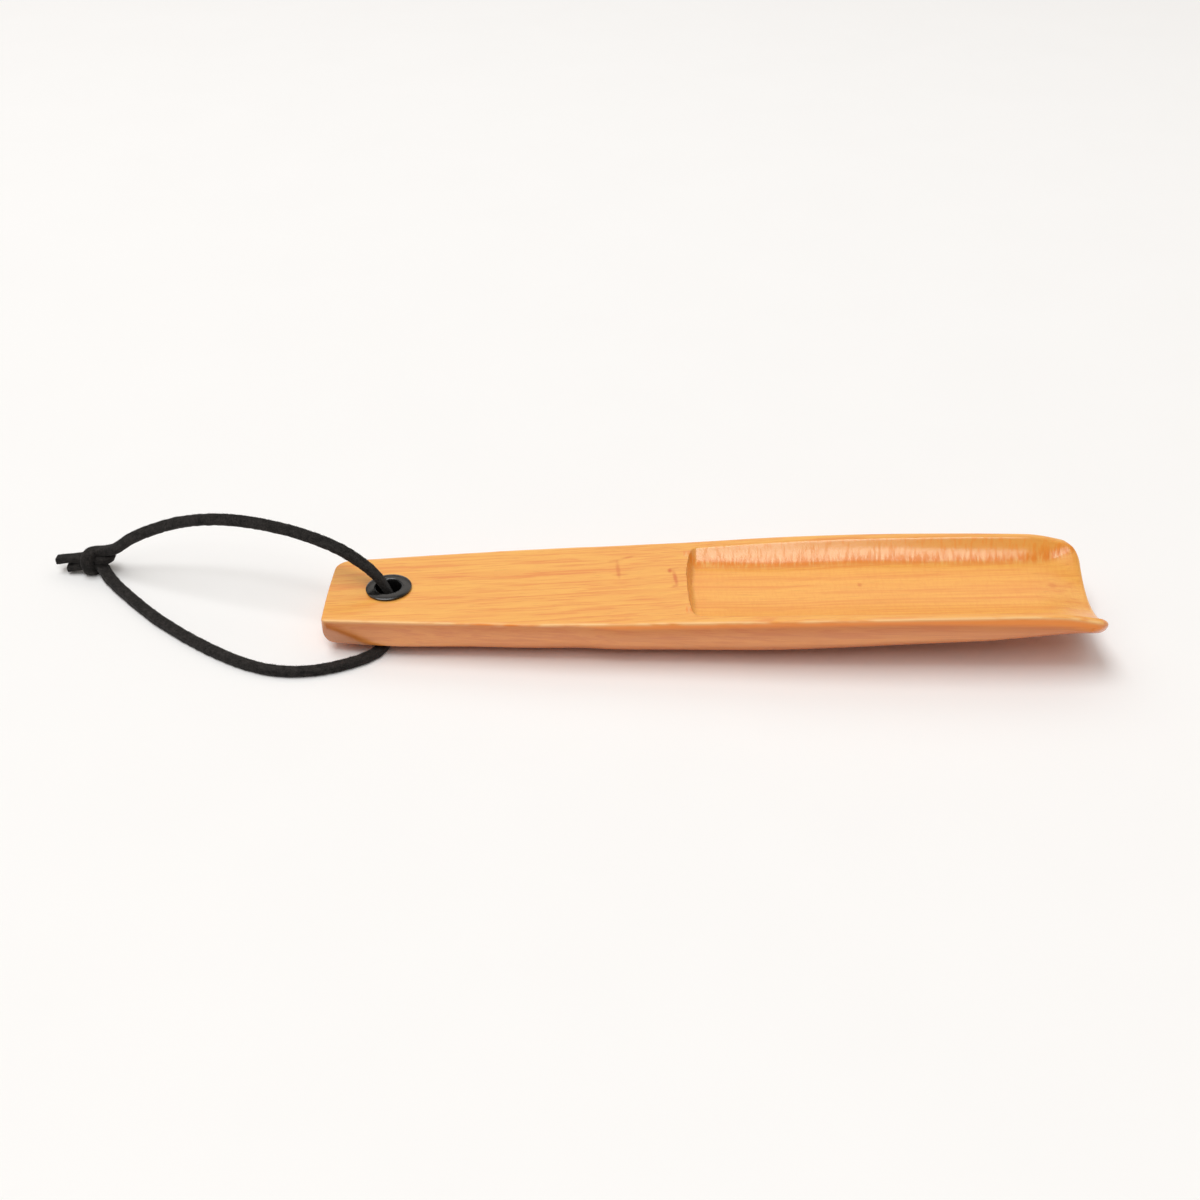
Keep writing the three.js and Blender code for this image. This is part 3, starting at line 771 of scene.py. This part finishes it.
def lower_half(x, hand):
    """Half of the underside up to the bevel's foot, its inner columns under those of the upper half."""
    above, _ = upper_half(x, hand)
    under = under_height(x)
    side, _ = bevel_at(x)
    reach = side_round(x)
    rise = np.minimum(reach, side_top(x) - under)
    power = fullness(x)
    a = SCOOP_COLUMNS + RIM_COLUMNS
    b = a + LOWER_ARC_COLUMNS
    out = np.clip((above - side + reach) / reach, 0, 1)
    start = np.arccos(out[:, a - 1:a] ** (power[:, a - 1:a] / 2))
    turn = start * np.linspace(1, 0, LOWER_ARC_COLUMNS + 1)[1:]
    out[:, a:b] = np.maximum(0, np.cos(turn)) ** (2 / power[:, a:b])
    y = np.where(np.arange(x.shape[1]) < a, above, side - reach + reach * out)
    z = under + rise * (1 - np.maximum(0, 1 - out ** power) ** (1 / power))
    climb = np.linspace(0, 1, x.shape[1] - b + 1)[1:]
    foot = (under + rise)[:, b:]
    y[:, b:] = side[:, b:]
    z[:, b:] = foot + (side_top(x)[:, b:] - foot) * climb
    return y, z


def end_inset(y, half, near_corner, far_corner, bow):
    """How far an end is drawn in from its furthest point, at a distance y across."""
    corner = np.where(y < 0, near_corner, far_corner)
    past = np.clip(np.abs(y) - (half - corner), 0, corner)
    return corner - np.sqrt(corner ** 2 - past ** 2) + bow * np.minimum(1, (y / half) ** 2)


def warped(x, y):
    """x moved in near both ends, so that the ends take their plan outline."""
    end_half = half_width(HANDLE_END) + EDGE_OUT
    tip_half = half_width(TIP) + TIP_BEVEL_OUT
    at_end = 1 - smooth_step(x, HANDLE_END, HANDLE_END + END_WARP)
    at_tip = smooth_step(x, TIP - TIP_WARP, TIP)
    end = end_inset(y, end_half, NEAR_END_CORNER, FAR_END_CORNER, END_BOW)
    tip = end_inset(y, tip_half, NEAR_TIP_CORNER, FAR_TIP_CORNER, 0)
    return x + end * at_end - tip * at_tip


def half_body(half, stations, hand):
    """Points of an upper or lower half on one hand, for each station along the body."""
    columns = SCOOP_COLUMNS + RIM_COLUMNS + BEVEL_COLUMNS + 2 * SOFT_COLUMNS
    straight = np.repeat(stations[:, None], columns, axis=1)
    x = straight
    for _ in range(2):
        x = warped(straight, hand * half(x, hand)[0])
    y, z = half(x, hand)
    level = side_top(x)
    if half is lower_half:
        share = END_UNDER_RISE / (level - under_height(x)) * end_rounding(straight, END_UNDER_REACH)
    else:
        share = END_SOFT_SHARE * end_rounding(straight, END_SOFT)
    return np.stack((x, hand * y, level + (z - level) * (1 - share)), axis=-1)


def end_rounding(x, reach):
    """A quarter round at the handle's end: 1 there, and 0 from a reach onwards."""
    t = np.clip((x - HANDLE_END) / reach, 0, 1)
    return 1 - np.sqrt(1 - (1 - t) ** 2)


def pinched(lower, upper, stations):
    """Both halves lifted at the tip's corners and drawn together, to end in a thin rounded edge."""
    edge = half_width(TIP)
    ridge = top_height(stations[:, None]) - NOSE_BELOW
    away = np.clip((TIP - stations[:, None]) / NOSE_REACH, 0, 1)
    for half in (lower, upper):
        corner = smooth_step(np.abs(half[..., 1]), NOSE_INNER * edge, NOSE_OUTER * edge)
        lift = NOSE_SHARE * corner * (1 - np.sqrt(1 - (1 - away) ** 2))
        half[..., 2] += np.maximum(0, ridge - half[..., 2]) * lift
    middle = (lower[..., 2] + upper[..., 2]) / 2
    depth = upper[..., 2] - lower[..., 2]
    reach = np.clip(PINCH_SHARE * depth[-1], PINCH_LEAST, PINCH_MOST)
    t = np.clip((TIP - stations[:, None]) / reach, 0, 1)
    share = np.maximum(PINCH_LEFT, np.sqrt(1 - (1 - t) ** 2))
    for half in (lower, upper):
        half[..., 2] = middle + (half[..., 2] - middle) * share


# Spacing of the rings along the body, and where it changes
END_SPAN, TIP_SPAN = 14, 16
LIP_BEFORE, LIP_AFTER = 1.5, 1
PLAIN_SPACING, END_SPACING, STEP_SPACING, TIP_SPACING = 1.4, 0.5, 0.22, 0.55
CROWDED_RINGS = 12


def body_stations():
    """Places of the rings along the body, closer together at the ends and at the step."""
    step_start = LIP_X - LIP_BEFORE
    step_end = LIP_X + STEP_RUN + LIP_AFTER
    spans = (
        (HANDLE_END + END_UNDER_REACH, HANDLE_END + END_SPAN, END_SPACING),
        (HANDLE_END + END_SPAN, step_start, PLAIN_SPACING),
        (step_start, step_end, STEP_SPACING),
        (step_end, TIP - TIP_SPAN, PLAIN_SPACING),
        (TIP - TIP_SPAN, TIP - PINCH_MOST, TIP_SPACING),
    )
    runs = [np.linspace(start, end, round((end - start) / step), endpoint=False)
            for start, end, step in spans]
    crowded = 1 - np.cos(np.linspace(0, math.pi / 2, CROWDED_RINGS))
    at_end = HANDLE_END + END_UNDER_REACH * crowded[:-1]
    at_tip = TIP - PINCH_MOST * crowded[::-1]
    return np.concatenate((at_end, *runs, at_tip))


def end_faces(first, columns, turned):
    """Upright strips that close an end, from the ring of points that starts at first."""
    count = 4 * columns - 2
    top = 2 * columns - 1
    faces = []
    for j in range(columns - 1):
        right = [j, j + 1, top - j - 1, top - j]
        left = [(count - j - 1) % count, (count - j) % count, top + j, top + j + 1]
        for strip in (right, left):
            faces.append([first + k for k in (strip[::-1] if turned else strip)])
    return faces


def facet_plane(side):
    """A point and the outward direction of the facet on one lower corner of the handle."""
    half = half_width(HANDLE_END) + EDGE_OUT
    far = HANDLE_END + FACET_LENGTH
    on_side = np.array((HANDLE_END, side * half, FACET_TOP))
    on_under = np.array((far, side * (half_width(far) + EDGE_OUT), under_height(far) + EDGE_DROP))
    at_corner = np.array((HANDLE_END, side * (half - FACET_INSET), under_height(HANDLE_END)))
    outward = side * np.cross(on_under - on_side, at_corner - on_side)
    return on_side, unit(outward)


def faceted(points):
    """Points beyond the facets brought back onto them, with a soft crease."""
    for side in (-1, 1):
        on_plane, outward = facet_plane(side)
        beyond = (points - on_plane) @ outward
        points = points - np.maximum(0, -soft_min(-beyond, 0 * beyond, FACET_SOFT))[:, None] * outward
    return points


CUTTER_SIDES = 96


def hole_cutter(name, radius, start, end):
    """A cylinder on the lace hole's axis."""
    sides = CUTTER_SIDES
    angle = np.arange(sides) / sides * math.tau
    circle = np.stack((radius * np.cos(angle), radius * np.sin(angle)), axis=1)
    points = [(*p, height) for height in (start, end) for p in circle]
    faces = ring_faces(2, sides)
    faces.append(list(range(sides))[::-1])
    faces.append(list(range(sides, 2 * sides)))
    return mesh_object(name, on_hole_axis(points), faces, None)


def on_hole_axis(points):
    """Points from the lace hole's own axes, square to the handle's top face, to the body's."""
    turn = Matrix.Rotation(-math.atan(HANDLE_SLOPE), 4, "Y")
    place = Matrix.Translation((EYELET_X, 0, EYELET_TOP)) @ turn
    return [place @ Vector(p) for p in points]


CARVED_UNEVEN, CARVED_WAVE = 0.05, 14
HOLE_RADIUS = EYELET_BORE / 2 + EYELET_WALL + SEAT_GAP


def carved_shape():
    """Points and faces of the undrilled body: rings along it and two closed ends."""
    stations = body_stations()
    parts = {(half, hand): half_body(half, stations, hand)
             for half in (upper_half, lower_half) for hand in (-1, 1)}
    for hand in (-1, 1):
        pinched(parts[lower_half, hand], parts[upper_half, hand], stations)
    rings = np.concatenate((
        parts[lower_half, 1], parts[upper_half, 1][:, ::-1],
        parts[upper_half, -1][:, 1:], parts[lower_half, -1][:, :0:-1],
    ), axis=1)
    count = rings.shape[1]
    columns = parts[lower_half, 1].shape[1]
    points = rings.reshape(-1, 3)
    for axis in (1, 2):
        points[:, axis] += CARVED_UNEVEN * wander(points, CARVED_WAVE, axis)
    points = faceted(points)
    points[:, 2] = np.maximum(points[:, 2], 0)
    faces = ring_faces(len(rings), count)
    faces += end_faces(0, columns, True)
    faces += end_faces((len(rings) - 1) * count, columns, False)
    return points, faces


def drilled(body, *cutters):
    """The body's mesh with the cutters' volumes taken out."""
    for cutter in cutters:
        cut = body.modifiers.new(cutter.name, "BOOLEAN")
        cut.operation = "DIFFERENCE"
        cut.solver = "EXACT"
        cut.object = cutter
    mesh = plain_copy(body)
    discard(body, *cutters)
    return mesh


# Marks on the body that its finish reads: how far each zone reaches, in millimetres,
# and between which upward shares of the surface's direction a wall, side or underside begins and is full
RIM_SHOWN, LIP_SHOWN, STEP_SHOWN, LEAST_FACING = 0.8, 1, 0.5, 0.05
HOLLOW_DEPTH, BELOW_REACH = 2.5, 5
COVE_BAND, RIDGE_BAND, CREASE_BAND, CREASE_FADE = 1.3, 0.5, 0.28, 0.6
BEVEL_SPREAD, BEVEL_MARGIN = 1.3, 0.1
WALL_FACING = (0.65, 0.95)
FLANK_FACING = (0.2, 0.75)
KEEL_FACING = (0.45, 0.85)


def mark_finish(mesh):
    """Attributes that the finish reads, from 0 to 1: the zones of the scoop, sides and edges."""
    count = len(mesh.vertices)
    points = np.empty(3 * count)
    normals = np.empty(3 * count)
    mesh.vertices.foreach_get("co", points)
    mesh.vertex_normals.foreach_get("vector", normals)
    points = points.reshape(-1, 3) / MM
    normals = normals.reshape(-1, 3)
    x, y, z = points.T
    top = top_height(x)
    side, drop = bevel_at(x)
    upward = normals[:, 2]
    within = np.abs(y) < half_width(x) - RIM_SHOWN * rim_width(x)
    inside = within & (upward > LEAST_FACING) & (x > LIP_X - LIP_SHOWN)
    middle = np.hypot(np.abs(y) - (half_width(x) + side) / 2, z - top + drop / 2)
    dish, wall = scoop_parts(x, np.abs(y))
    past_step = smooth_step(x, LIP_X + STEP_SHOWN * STEP_RUN, LIP_X + STEP_RUN)
    steep = np.where(inside, 1 - smooth_step(upward, *WALL_FACING), 0)
    # A band above each facet's crease, where the finish paints shade
    crease = np.zeros(count)
    for hand in (-1, 1):
        on_plane, outward = facet_plane(hand)
        above = -((points - on_plane) @ outward)
        near = np.exp(-((above - CREASE_BAND / 2) / CREASE_BAND) ** 2) * (hand * y > 0)
        fade = 1 - smooth_step(x, HANDLE_END + CREASE_FADE * FACET_LENGTH, HANDLE_END + FACET_LENGTH)
        crease = np.maximum(crease, near * fade)
    marks = {
        "hollow": np.where(inside, np.clip((top - z) / HOLLOW_DEPTH, 0, 1), 0),
        # The cove at the foot of the walls, where the finish paints shade
        "cove": np.where(inside, np.exp(-((wall - dish) / COVE_BAND) ** 2), 0),
        # The scoop's steep walls, where the finish paints light and shade and gives more gloss
        "wall": steep * past_step,
        "step": steep * (1 - past_step),
        # The sides, where the finish paints shade and gives more gloss
        "flank": np.where(inside, 0, 1 - smooth_step(upward, *FLANK_FACING)),
        # The bevel band, where the finish paints shade
        "bevel": np.clip(BEVEL_SPREAD - middle / (drop / 2 + BEVEL_MARGIN), 0, 1),
        # The top edge, where the finish paints a highlight
        "ridge": np.exp(-(np.hypot(np.abs(y) - half_width(x), z - top) / RIDGE_BAND) ** 2),
        # Faces that look down, where the finish paints shade
        "keel": smooth_step(-upward, *KEEL_FACING),
        # Depth below the bevel's foot: lower on the sides the painted shade gives way to painted light
        # bounced from the floor, and the gloss grows
        "below": smooth_step(top - drop - z, 0, BELOW_REACH),
        "crease": crease,
    }
    for name, values in marks.items():
        mesh.attributes.new(name, "FLOAT", "POINT").data.foreach_set("value", values)


def horn_body(material):
    points, faces = carved_shape()
    blank = mesh_object("carved_blank", points, faces, material)
    below = -2 * HANDLE_DEPTH
    hole = hole_cutter("lace_hole", HOLE_RADIUS, below, HANDLE_DEPTH)
    seat = hole_cutter("spot_face", FLANGE_DIAMETER / 2 + SEAT_GAP, below, SPOT_FACE_DEPTH - HANDLE_DEPTH)
    mesh = drilled(blank, hole, seat)
    mark_finish(mesh)
    piece = placed("carved_body", mesh, material)
    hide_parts("horn_body")
    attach(piece, "horn")


# Eyelets

EYELET_SIDES = 112
MOUTH_STEPS = 14


def curve_points(start, control, end, steps):
    """A quadratic curve without its first point."""
    t = np.linspace(0, 1, steps + 1)[1:, None]
    start, control, end = (np.array(p, float) for p in (start, control, end))
    return [*((1 - t) ** 2 * start + 2 * t * (1 - t) * control + t ** 2 * end)]


def eyelet_profile(crown):
    """Radius and height round the wall: up the bore, over the mouth and down the flange to its rest."""
    bore = EYELET_BORE / 2
    rim = FLANGE_DIAMETER / 2
    barrel = bore + EYELET_WALL
    crest = (bore + MOUTH_ROLL * crown, SEAT_GAP + crown)
    shoulder = (rim, SEAT_GAP + FLANGE_EDGE)
    inner_rest = (rim - EYELET_WALL, FLANGE_REST)
    points = [(bore, -BARREL_DEPTH), (bore, -crown)]
    points += curve_points((bore, -crown), (bore, SEAT_GAP + crown), crest, MOUTH_STEPS)
    points += curve_points(crest, (rim - crown, SEAT_GAP + crown), shoulder, MOUTH_STEPS)
    points += curve_points(shoulder, (rim, FLANGE_REST), inner_rest, MOUTH_STEPS // 2)
    points += [(rim - EYELET_WALL, SEAT_GAP), (barrel, SEAT_GAP), (barrel, -BARREL_DEPTH)]
    return points


def eyelet(name, node, crown, flip, material):
    """A turned ring, closed on itself, on the lace hole's axis."""
    profile = eyelet_profile(crown)
    rings = []
    for j in range(EYELET_SIDES):
        angle = j / EYELET_SIDES * math.tau
        rings += [(r * math.cos(angle), r * math.sin(angle), h) for r, h in profile]
    faces = ring_faces(EYELET_SIDES, len(profile))
    last = (EYELET_SIDES - 1) * len(profile)
    for k in range(len(profile)):
        after = (k + 1) % len(profile)
        faces.append([last + k, last + after, after, k])
    if flip:
        rings = [(x, -y, SPOT_FACE_DEPTH - HANDLE_DEPTH - z) for x, y, z in rings]
    piece = mesh_object(name, on_hole_axis(rings), faces, material)
    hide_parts(node)
    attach(piece, "horn")


# Finishes

# Marks in the wood: place, half length and half width in millimetres, turn in degrees, and strength
FLECKS = (
    ((-20.1, 11.7), (1.1, 0.32), 20, 0.4),
    ((-23.3, 10.4), (1.2, 0.35), 10, 0.32),
    ((-23.9, 9.6), (1.0, 0.3), 0, 0.2),
    ((-22.55, 6.1), (2.4, 0.36), 95, 0.42),
    ((-22, 3.8), (1.3, 0.35), 0, 0.3),
    ((-9.6, 4.95), (0.36, 0.6), 0, 0.8),
    ((-8.6, 5.95), (1, 0.3), 10, 0.28),
    ((-8.3, 1.5), (2.1, 0.34), 97, 0.65),
    ((-8.55, -2), (0.5, 0.4), 30, 0.4),
    ((38.1, 4.5), (0.4, 0.5), 0, 0.45),
    ((86.4, 5.05), (0.8, 0.6), 20, 0.3),
)
FLECKS_OVER = 7.5
FLECK_EDGE = (2.3, 0.3)
# Rings painted round the tip's far corner: a painted reflection swirl in the hollow
SWIRL, SWIRL_REACH, SWIRL_CORE, SWIRL_RINGS = (92.5, 15.7, 13), 1.9, 0.4, 11

# Patterns in the wood: their length along each axis in millimetres, the grain's slant, and depths of relief
STREAKS = (60, 0.75, 0.75)
BANDS = (90, 2.6, 2.6)
FIBRES = (16, 0.3, 0.3)
PORES = (5, 0.2, 0.2)
CHATTER = (0.7, 3.2, 3.2)
SKIN = (9, 2.2, 2.2)
WOBBLE = (0.9, 0.9, 0.9)
GRAIN_SKEW = 0.05
FIBRE_DEPTH, CHATTER_DEPTH, SKIN_DEPTH = 0.018, 0.3, 0.06

# Colours of the wood: its ground and grain, whose blue is raised as a painted part of the lacquer's sheen,
# then the scoop, the sides, the edges and the marks, several of them painted light and shade
PALE_WOOD = (0.93, 0.46, 0.095)
DEEP_WOOD = (0.84, 0.30, 0.065)
PORE_BROWN = (0.52, 0.15, 0.025)
# Painted light and shade: the scoop's walls tinted a more saturated orange than its floor, for how they take
# and reflect the lamps
WALL_LIGHT_AND_SHADE_ORANGE = (1, 0.44, 0.055)
HATCH_ORANGE = (0.94, 0.26, 0.01)
# Painted shade in the cove at the foot of the walls
COVE_SHADE_ORANGE = (0.88, 0.25, 0.012)
# Painted shade on the sides, and lower down painted light bounced from the floor
UPPER_SIDE_SHADE = (0.62, 0.125, 0.008)
LOWER_SIDE_BOUNCE_LIGHT = (0.88, 0.29, 0.06)
# Painted shade on faces that look down
UNDERSIDE_SHADE = (0.72, 0.17, 0.02)
SIDE_GRAIN = (0.5, 0.1, 0.01)
# Painted shade along the blade's bevel, a saturated orange
BEVEL_SHADE_ORANGE = (0.96, 0.27, 0.02)
# Painted highlight along the top edge, broken in places
PAINTED_RIDGE_HIGHLIGHT = (1, 0.62, 0.26)
# Painted shade above the crease of each handle facet
CREASE_SHADE_BROWN = (0.56, 0.15, 0.015)
FLECK_BROWN = (0.66, 0.13, 0.025)
# Painted reflection swirl at the tip's far corner
SWIRL_REFLECTION_BROWN = (0.62, 0.17, 0.02)


def lacquered_wood():
    """Orange-yellow wood under clear gloss lacquer: long grain, fine fibres, flecks and tool marks, with
    painted shade on the walls, cove, sides, underside, bevel and crease, painted bounced light low on the
    sides, a painted highlight on the top edge and a painted reflection swirl at the tip.
    """
    finish = Finish("lacquered_wood", Coat_Roughness=0.2, Coat_IOR=1.75, Specular_IOR_Level=0.2)
    place = finish.place()
    x, y, z = finish.axes(place)
    grain = finish.add("ShaderNodeCombineXYZ", None, {0: x, 1: y - GRAIN_SKEW * x, 2: z})
    streaks = finish.noise(grain, STREAKS, 2, 0.55, 0.15)
    bands = finish.noise(grain, BANDS, 2, 0.5, 0.2)
    fibres = finish.noise(grain, FIBRES, 2, 0.6)
    pores = finish.noise(grain, PORES, 1, 0.5)
    chatter = finish.noise(place, CHATTER, 2, 0.6)
    skin = finish.noise(place, SKIN, 2, 0.5)
    wobble = (finish.noise(place, WOBBLE, 2) - 0.5) * 0.9
    hollow, cove, wall, step = map(finish.attribute, ("hollow", "cove", "wall", "step"))
    flank, keel, below = map(finish.attribute, ("flank", "keel", "below"))
    bevel, ridge, crease = map(finish.attribute, ("bevel", "ridge", "crease"))

    lines = streaks.between(0.5, 0.4)
    tone = (bands * 0.5 + fibres * 0.5).between(0.6, 0.4)
    # Painted shade in the cove at the walls' foot, ragged along the tool chatter
    ragged_cove_shade = chatter.between(0.3, 0.55) * cove
    wood = finish.mix(lines * (0.6 - 0.35 * wall - 0.2 * hollow) + tone * 0.4, PALE_WOOD, DEEP_WOOD)
    layers = (
        (pores.between(0.62, 0.74) * 0.25, PORE_BROWN),
        (chatter.between(0.45, 0.65) * (hollow * 0.2 + wall * 0.35), DEEP_WOOD),
        # Painted light and shade on the scoop's walls
        (wall * 0.75, WALL_LIGHT_AND_SHADE_ORANGE),
        (wall * chatter.between(0.5, 0.65) * 0.32, HATCH_ORANGE),
        # Painted shade in the cove
        (ragged_cove_shade * 0.85, COVE_SHADE_ORANGE),
        # Painted shade on the sides, giving way lower down to painted light bounced from the floor
        (flank * 0.7, finish.mix(below, UPPER_SIDE_SHADE, LOWER_SIDE_BOUNCE_LIGHT)),
        # Painted shade under the body
        (keel * 0.8, UNDERSIDE_SHADE),
        ((lines + tone) * flank * 0.1, SIDE_GRAIN),
        # Painted shade along the bevel
        (bevel * 0.8, BEVEL_SHADE_ORANGE),
        # Painted highlight along the top edge
        (ridge * skin.between(0.3, 0.55) * 0.9, PAINTED_RIDGE_HIGHLIGHT),
        # Painted shade above each facet's crease
        (crease * 0.8, CREASE_SHADE_BROWN),
    )
    for share, tint in layers:
        wood = finish.mix(share, wood, tint)
    marks = 0
    for (at_x, at_y), (long, wide), turn, strength in FLECKS:
        cosine = math.cos(math.radians(turn))
        sine = math.sin(math.radians(turn))
        along = (x - at_x) * cosine + (y - at_y) * sine
        across = (y - at_y) * cosine - (x - at_x) * sine
        apart = ((along / long) ** 2 + (across / wide) ** 2) ** 0.5 + wobble
        marks = apart.between(*FLECK_EDGE) * strength + marks
    marks = marks * z.between(FLECKS_OVER - 1, FLECKS_OVER)
    wood = finish.mix(marks * 1.1, wood, FLECK_BROWN)
    # Painted reflection: brown rings round the tip's far corner
    away = sum((axis - at) ** 2 for axis, at in zip((x, y, z), SWIRL)) ** 0.5
    waves = (away + wobble * 0.15) * SWIRL_RINGS
    swirl = waves.math("SINE", waves) * away.between(SWIRL_REACH, SWIRL_CORE * SWIRL_REACH)
    wood = finish.mix(swirl * 0.5, wood, SWIRL_REFLECTION_BROWN)

    gloss = (wall + cove + step + flank * (0.4 + 0.6 * below)).between(0, 0.8)
    cut = chatter.between(0.5, 0.62) * wall * 0.35 + ragged_cove_shade * 0.4
    finish.set(Base_Color=wood, Coat_Weight=0.3 + (0.7 - cut) * gloss, Roughness=0.32 + 0.25 * gloss)
    relief = finish.bump(fibres, FIBRE_DEPTH)
    relief = finish.bump(chatter * (cove * 0.6 + wall * 0.3 + hollow * 0.1), CHATTER_DEPTH, relief)
    finish.set(Normal=finish.bump(skin, SKIN_DEPTH, relief))
    return finish.material


PAINT_BLACK = (0.006, 0.006, 0.006)
PAINT_DUSTY = (0.02, 0.018, 0.016)
DUST_DEPTH = 0.01


def black_paint():
    """Black paint on pressed metal, dusty and rubbed duller in patches."""
    finish = Finish("black_eyelet_paint", Specular_IOR_Level=0.5)
    place = finish.place()
    dust = finish.noise(place, (0.5, 0.5, 0.5), 3, 0.6)
    worn = finish.noise(place, (2.4, 2.4, 2.4), 2, 0.5)
    finish.set(Base_Color=finish.mix(dust.between(0.45, 0.8), PAINT_BLACK, PAINT_DUSTY))
    finish.set(Roughness=worn.between(0.3, 0.7) * 0.14 + 0.12)
    finish.set(Normal=finish.bump(dust, DUST_DEPTH))
    return finish.material


FLOOR_NEAR = (0.935, 0.926, 0.912)
FLOOR_FAR = (0.99, 0.985, 0.975)
FLOOR_MOTTLE = (40, 40, 40)
FLOOR_PALING = (-150, 500)


def pale_floor():
    """The floor: nearly white, palest at the back, with the faintest mottle."""
    finish = Finish("pale_floor", Roughness=0.9, Specular_IOR_Level=0.1)
    place = finish.place()
    _, y, _ = finish.axes(place)
    mottle = finish.noise(place, FLOOR_MOTTLE, 2, 0.5)
    share = mottle * 0.3 + y.between(*FLOOR_PALING) * 0.7
    finish.set(Base_Color=finish.mix(share, FLOOR_NEAR, FLOOR_FAR))
    return finish.material


wood_finish = lacquered_wood()
paint_finish = black_paint()
horn_body(wood_finish)
eyelet("upper_eyelet_ring", "upper_eyelet", UPPER_CROWN, False, paint_finish)
eyelet("lower_eyelet_ring", "lower_eyelet", LOWER_CROWN, True, paint_finish)


# Floor, light and surroundings

FLOOR_REACH = 4000
LAMP_TINT = (0.97, 0.985, 1)

# Studio around the object: heights are sines of the angle over the horizon
SCREEN_FOOT, SCREEN_HEAD = (0.40, 0.52), (0.88, 0.74)
SCREEN_SIDE, SCREEN_TURN = (-0.3, 0.6), 0.35
HORIZON_BAND = (0.3, 0.15)
STUDIO_TINT = (1, 0.94, 0.88)
WHITE = (1, 1, 1)


def floor():
    corners = [(x, y, 0) for x, y in ((-1, -1), (1, -1), (1, 1), (-1, 1))]
    sheet = mesh_object("floor", np.array(corners) * FLOOR_REACH, [[0, 1, 2, 3]], pale_floor())


def soft_box(name, place, width, length, power):
    """A rectangular lamp that looks at the middle of the object."""
    data = bpy.data.lights.new(name, "AREA")
    data.shape = "RECTANGLE"
    data.size = width
    data.size_y = length
    data.energy = power
    data.color = LAMP_TINT
    lamp = in_scene(name, data)
    lamp.location = place
    lamp.rotation_euler = (-Vector(place)).to_track_quat("-Z", "Y").to_euler()


def surroundings(behind, around_it):
    """A bright screen behind the object, dim around it, and white where it is seen itself.

    Mirrors see the white too, low over the floor."""
    world = bpy.data.worlds.new("studio")
    world.use_nodes = True
    bench = Bench(world.node_tree)
    x, y, z = bench.axes(bench.add("ShaderNodeTexCoord", output="Generated"))
    screen = (y - SCREEN_TURN * x).between(*SCREEN_SIDE)
    screen = screen * z.between(*SCREEN_FOOT) * z.between(*SCREEN_HEAD)
    sky = around_it + (behind - around_it) * screen
    mirrored = bench.ray("Is Glossy Ray") + bench.ray("Is Transmission Ray")
    seen = bench.ray("Is Camera Ray") + mirrored * z.between(*HORIZON_BAND)
    background = bench.nodes["Background"]
    bench.put(background.inputs["Strength"], sky * (1 - seen) + seen)
    bench.put(background.inputs["Color"], bench.mix(seen, STUDIO_TINT, WHITE))
    bpy.context.scene.world = world


floor()
soft_box("key_soft_box", (-0.85, 0, 2.9), width=2.4, length=1.5, power=52)
soft_box("front_soft_box", (0.3, -1.22, 2.07), width=0.72, length=1.4, power=12)
surroundings(behind=1.15, around_it=0.22)
bpy.context.scene.view_settings.view_transform = "Standard"
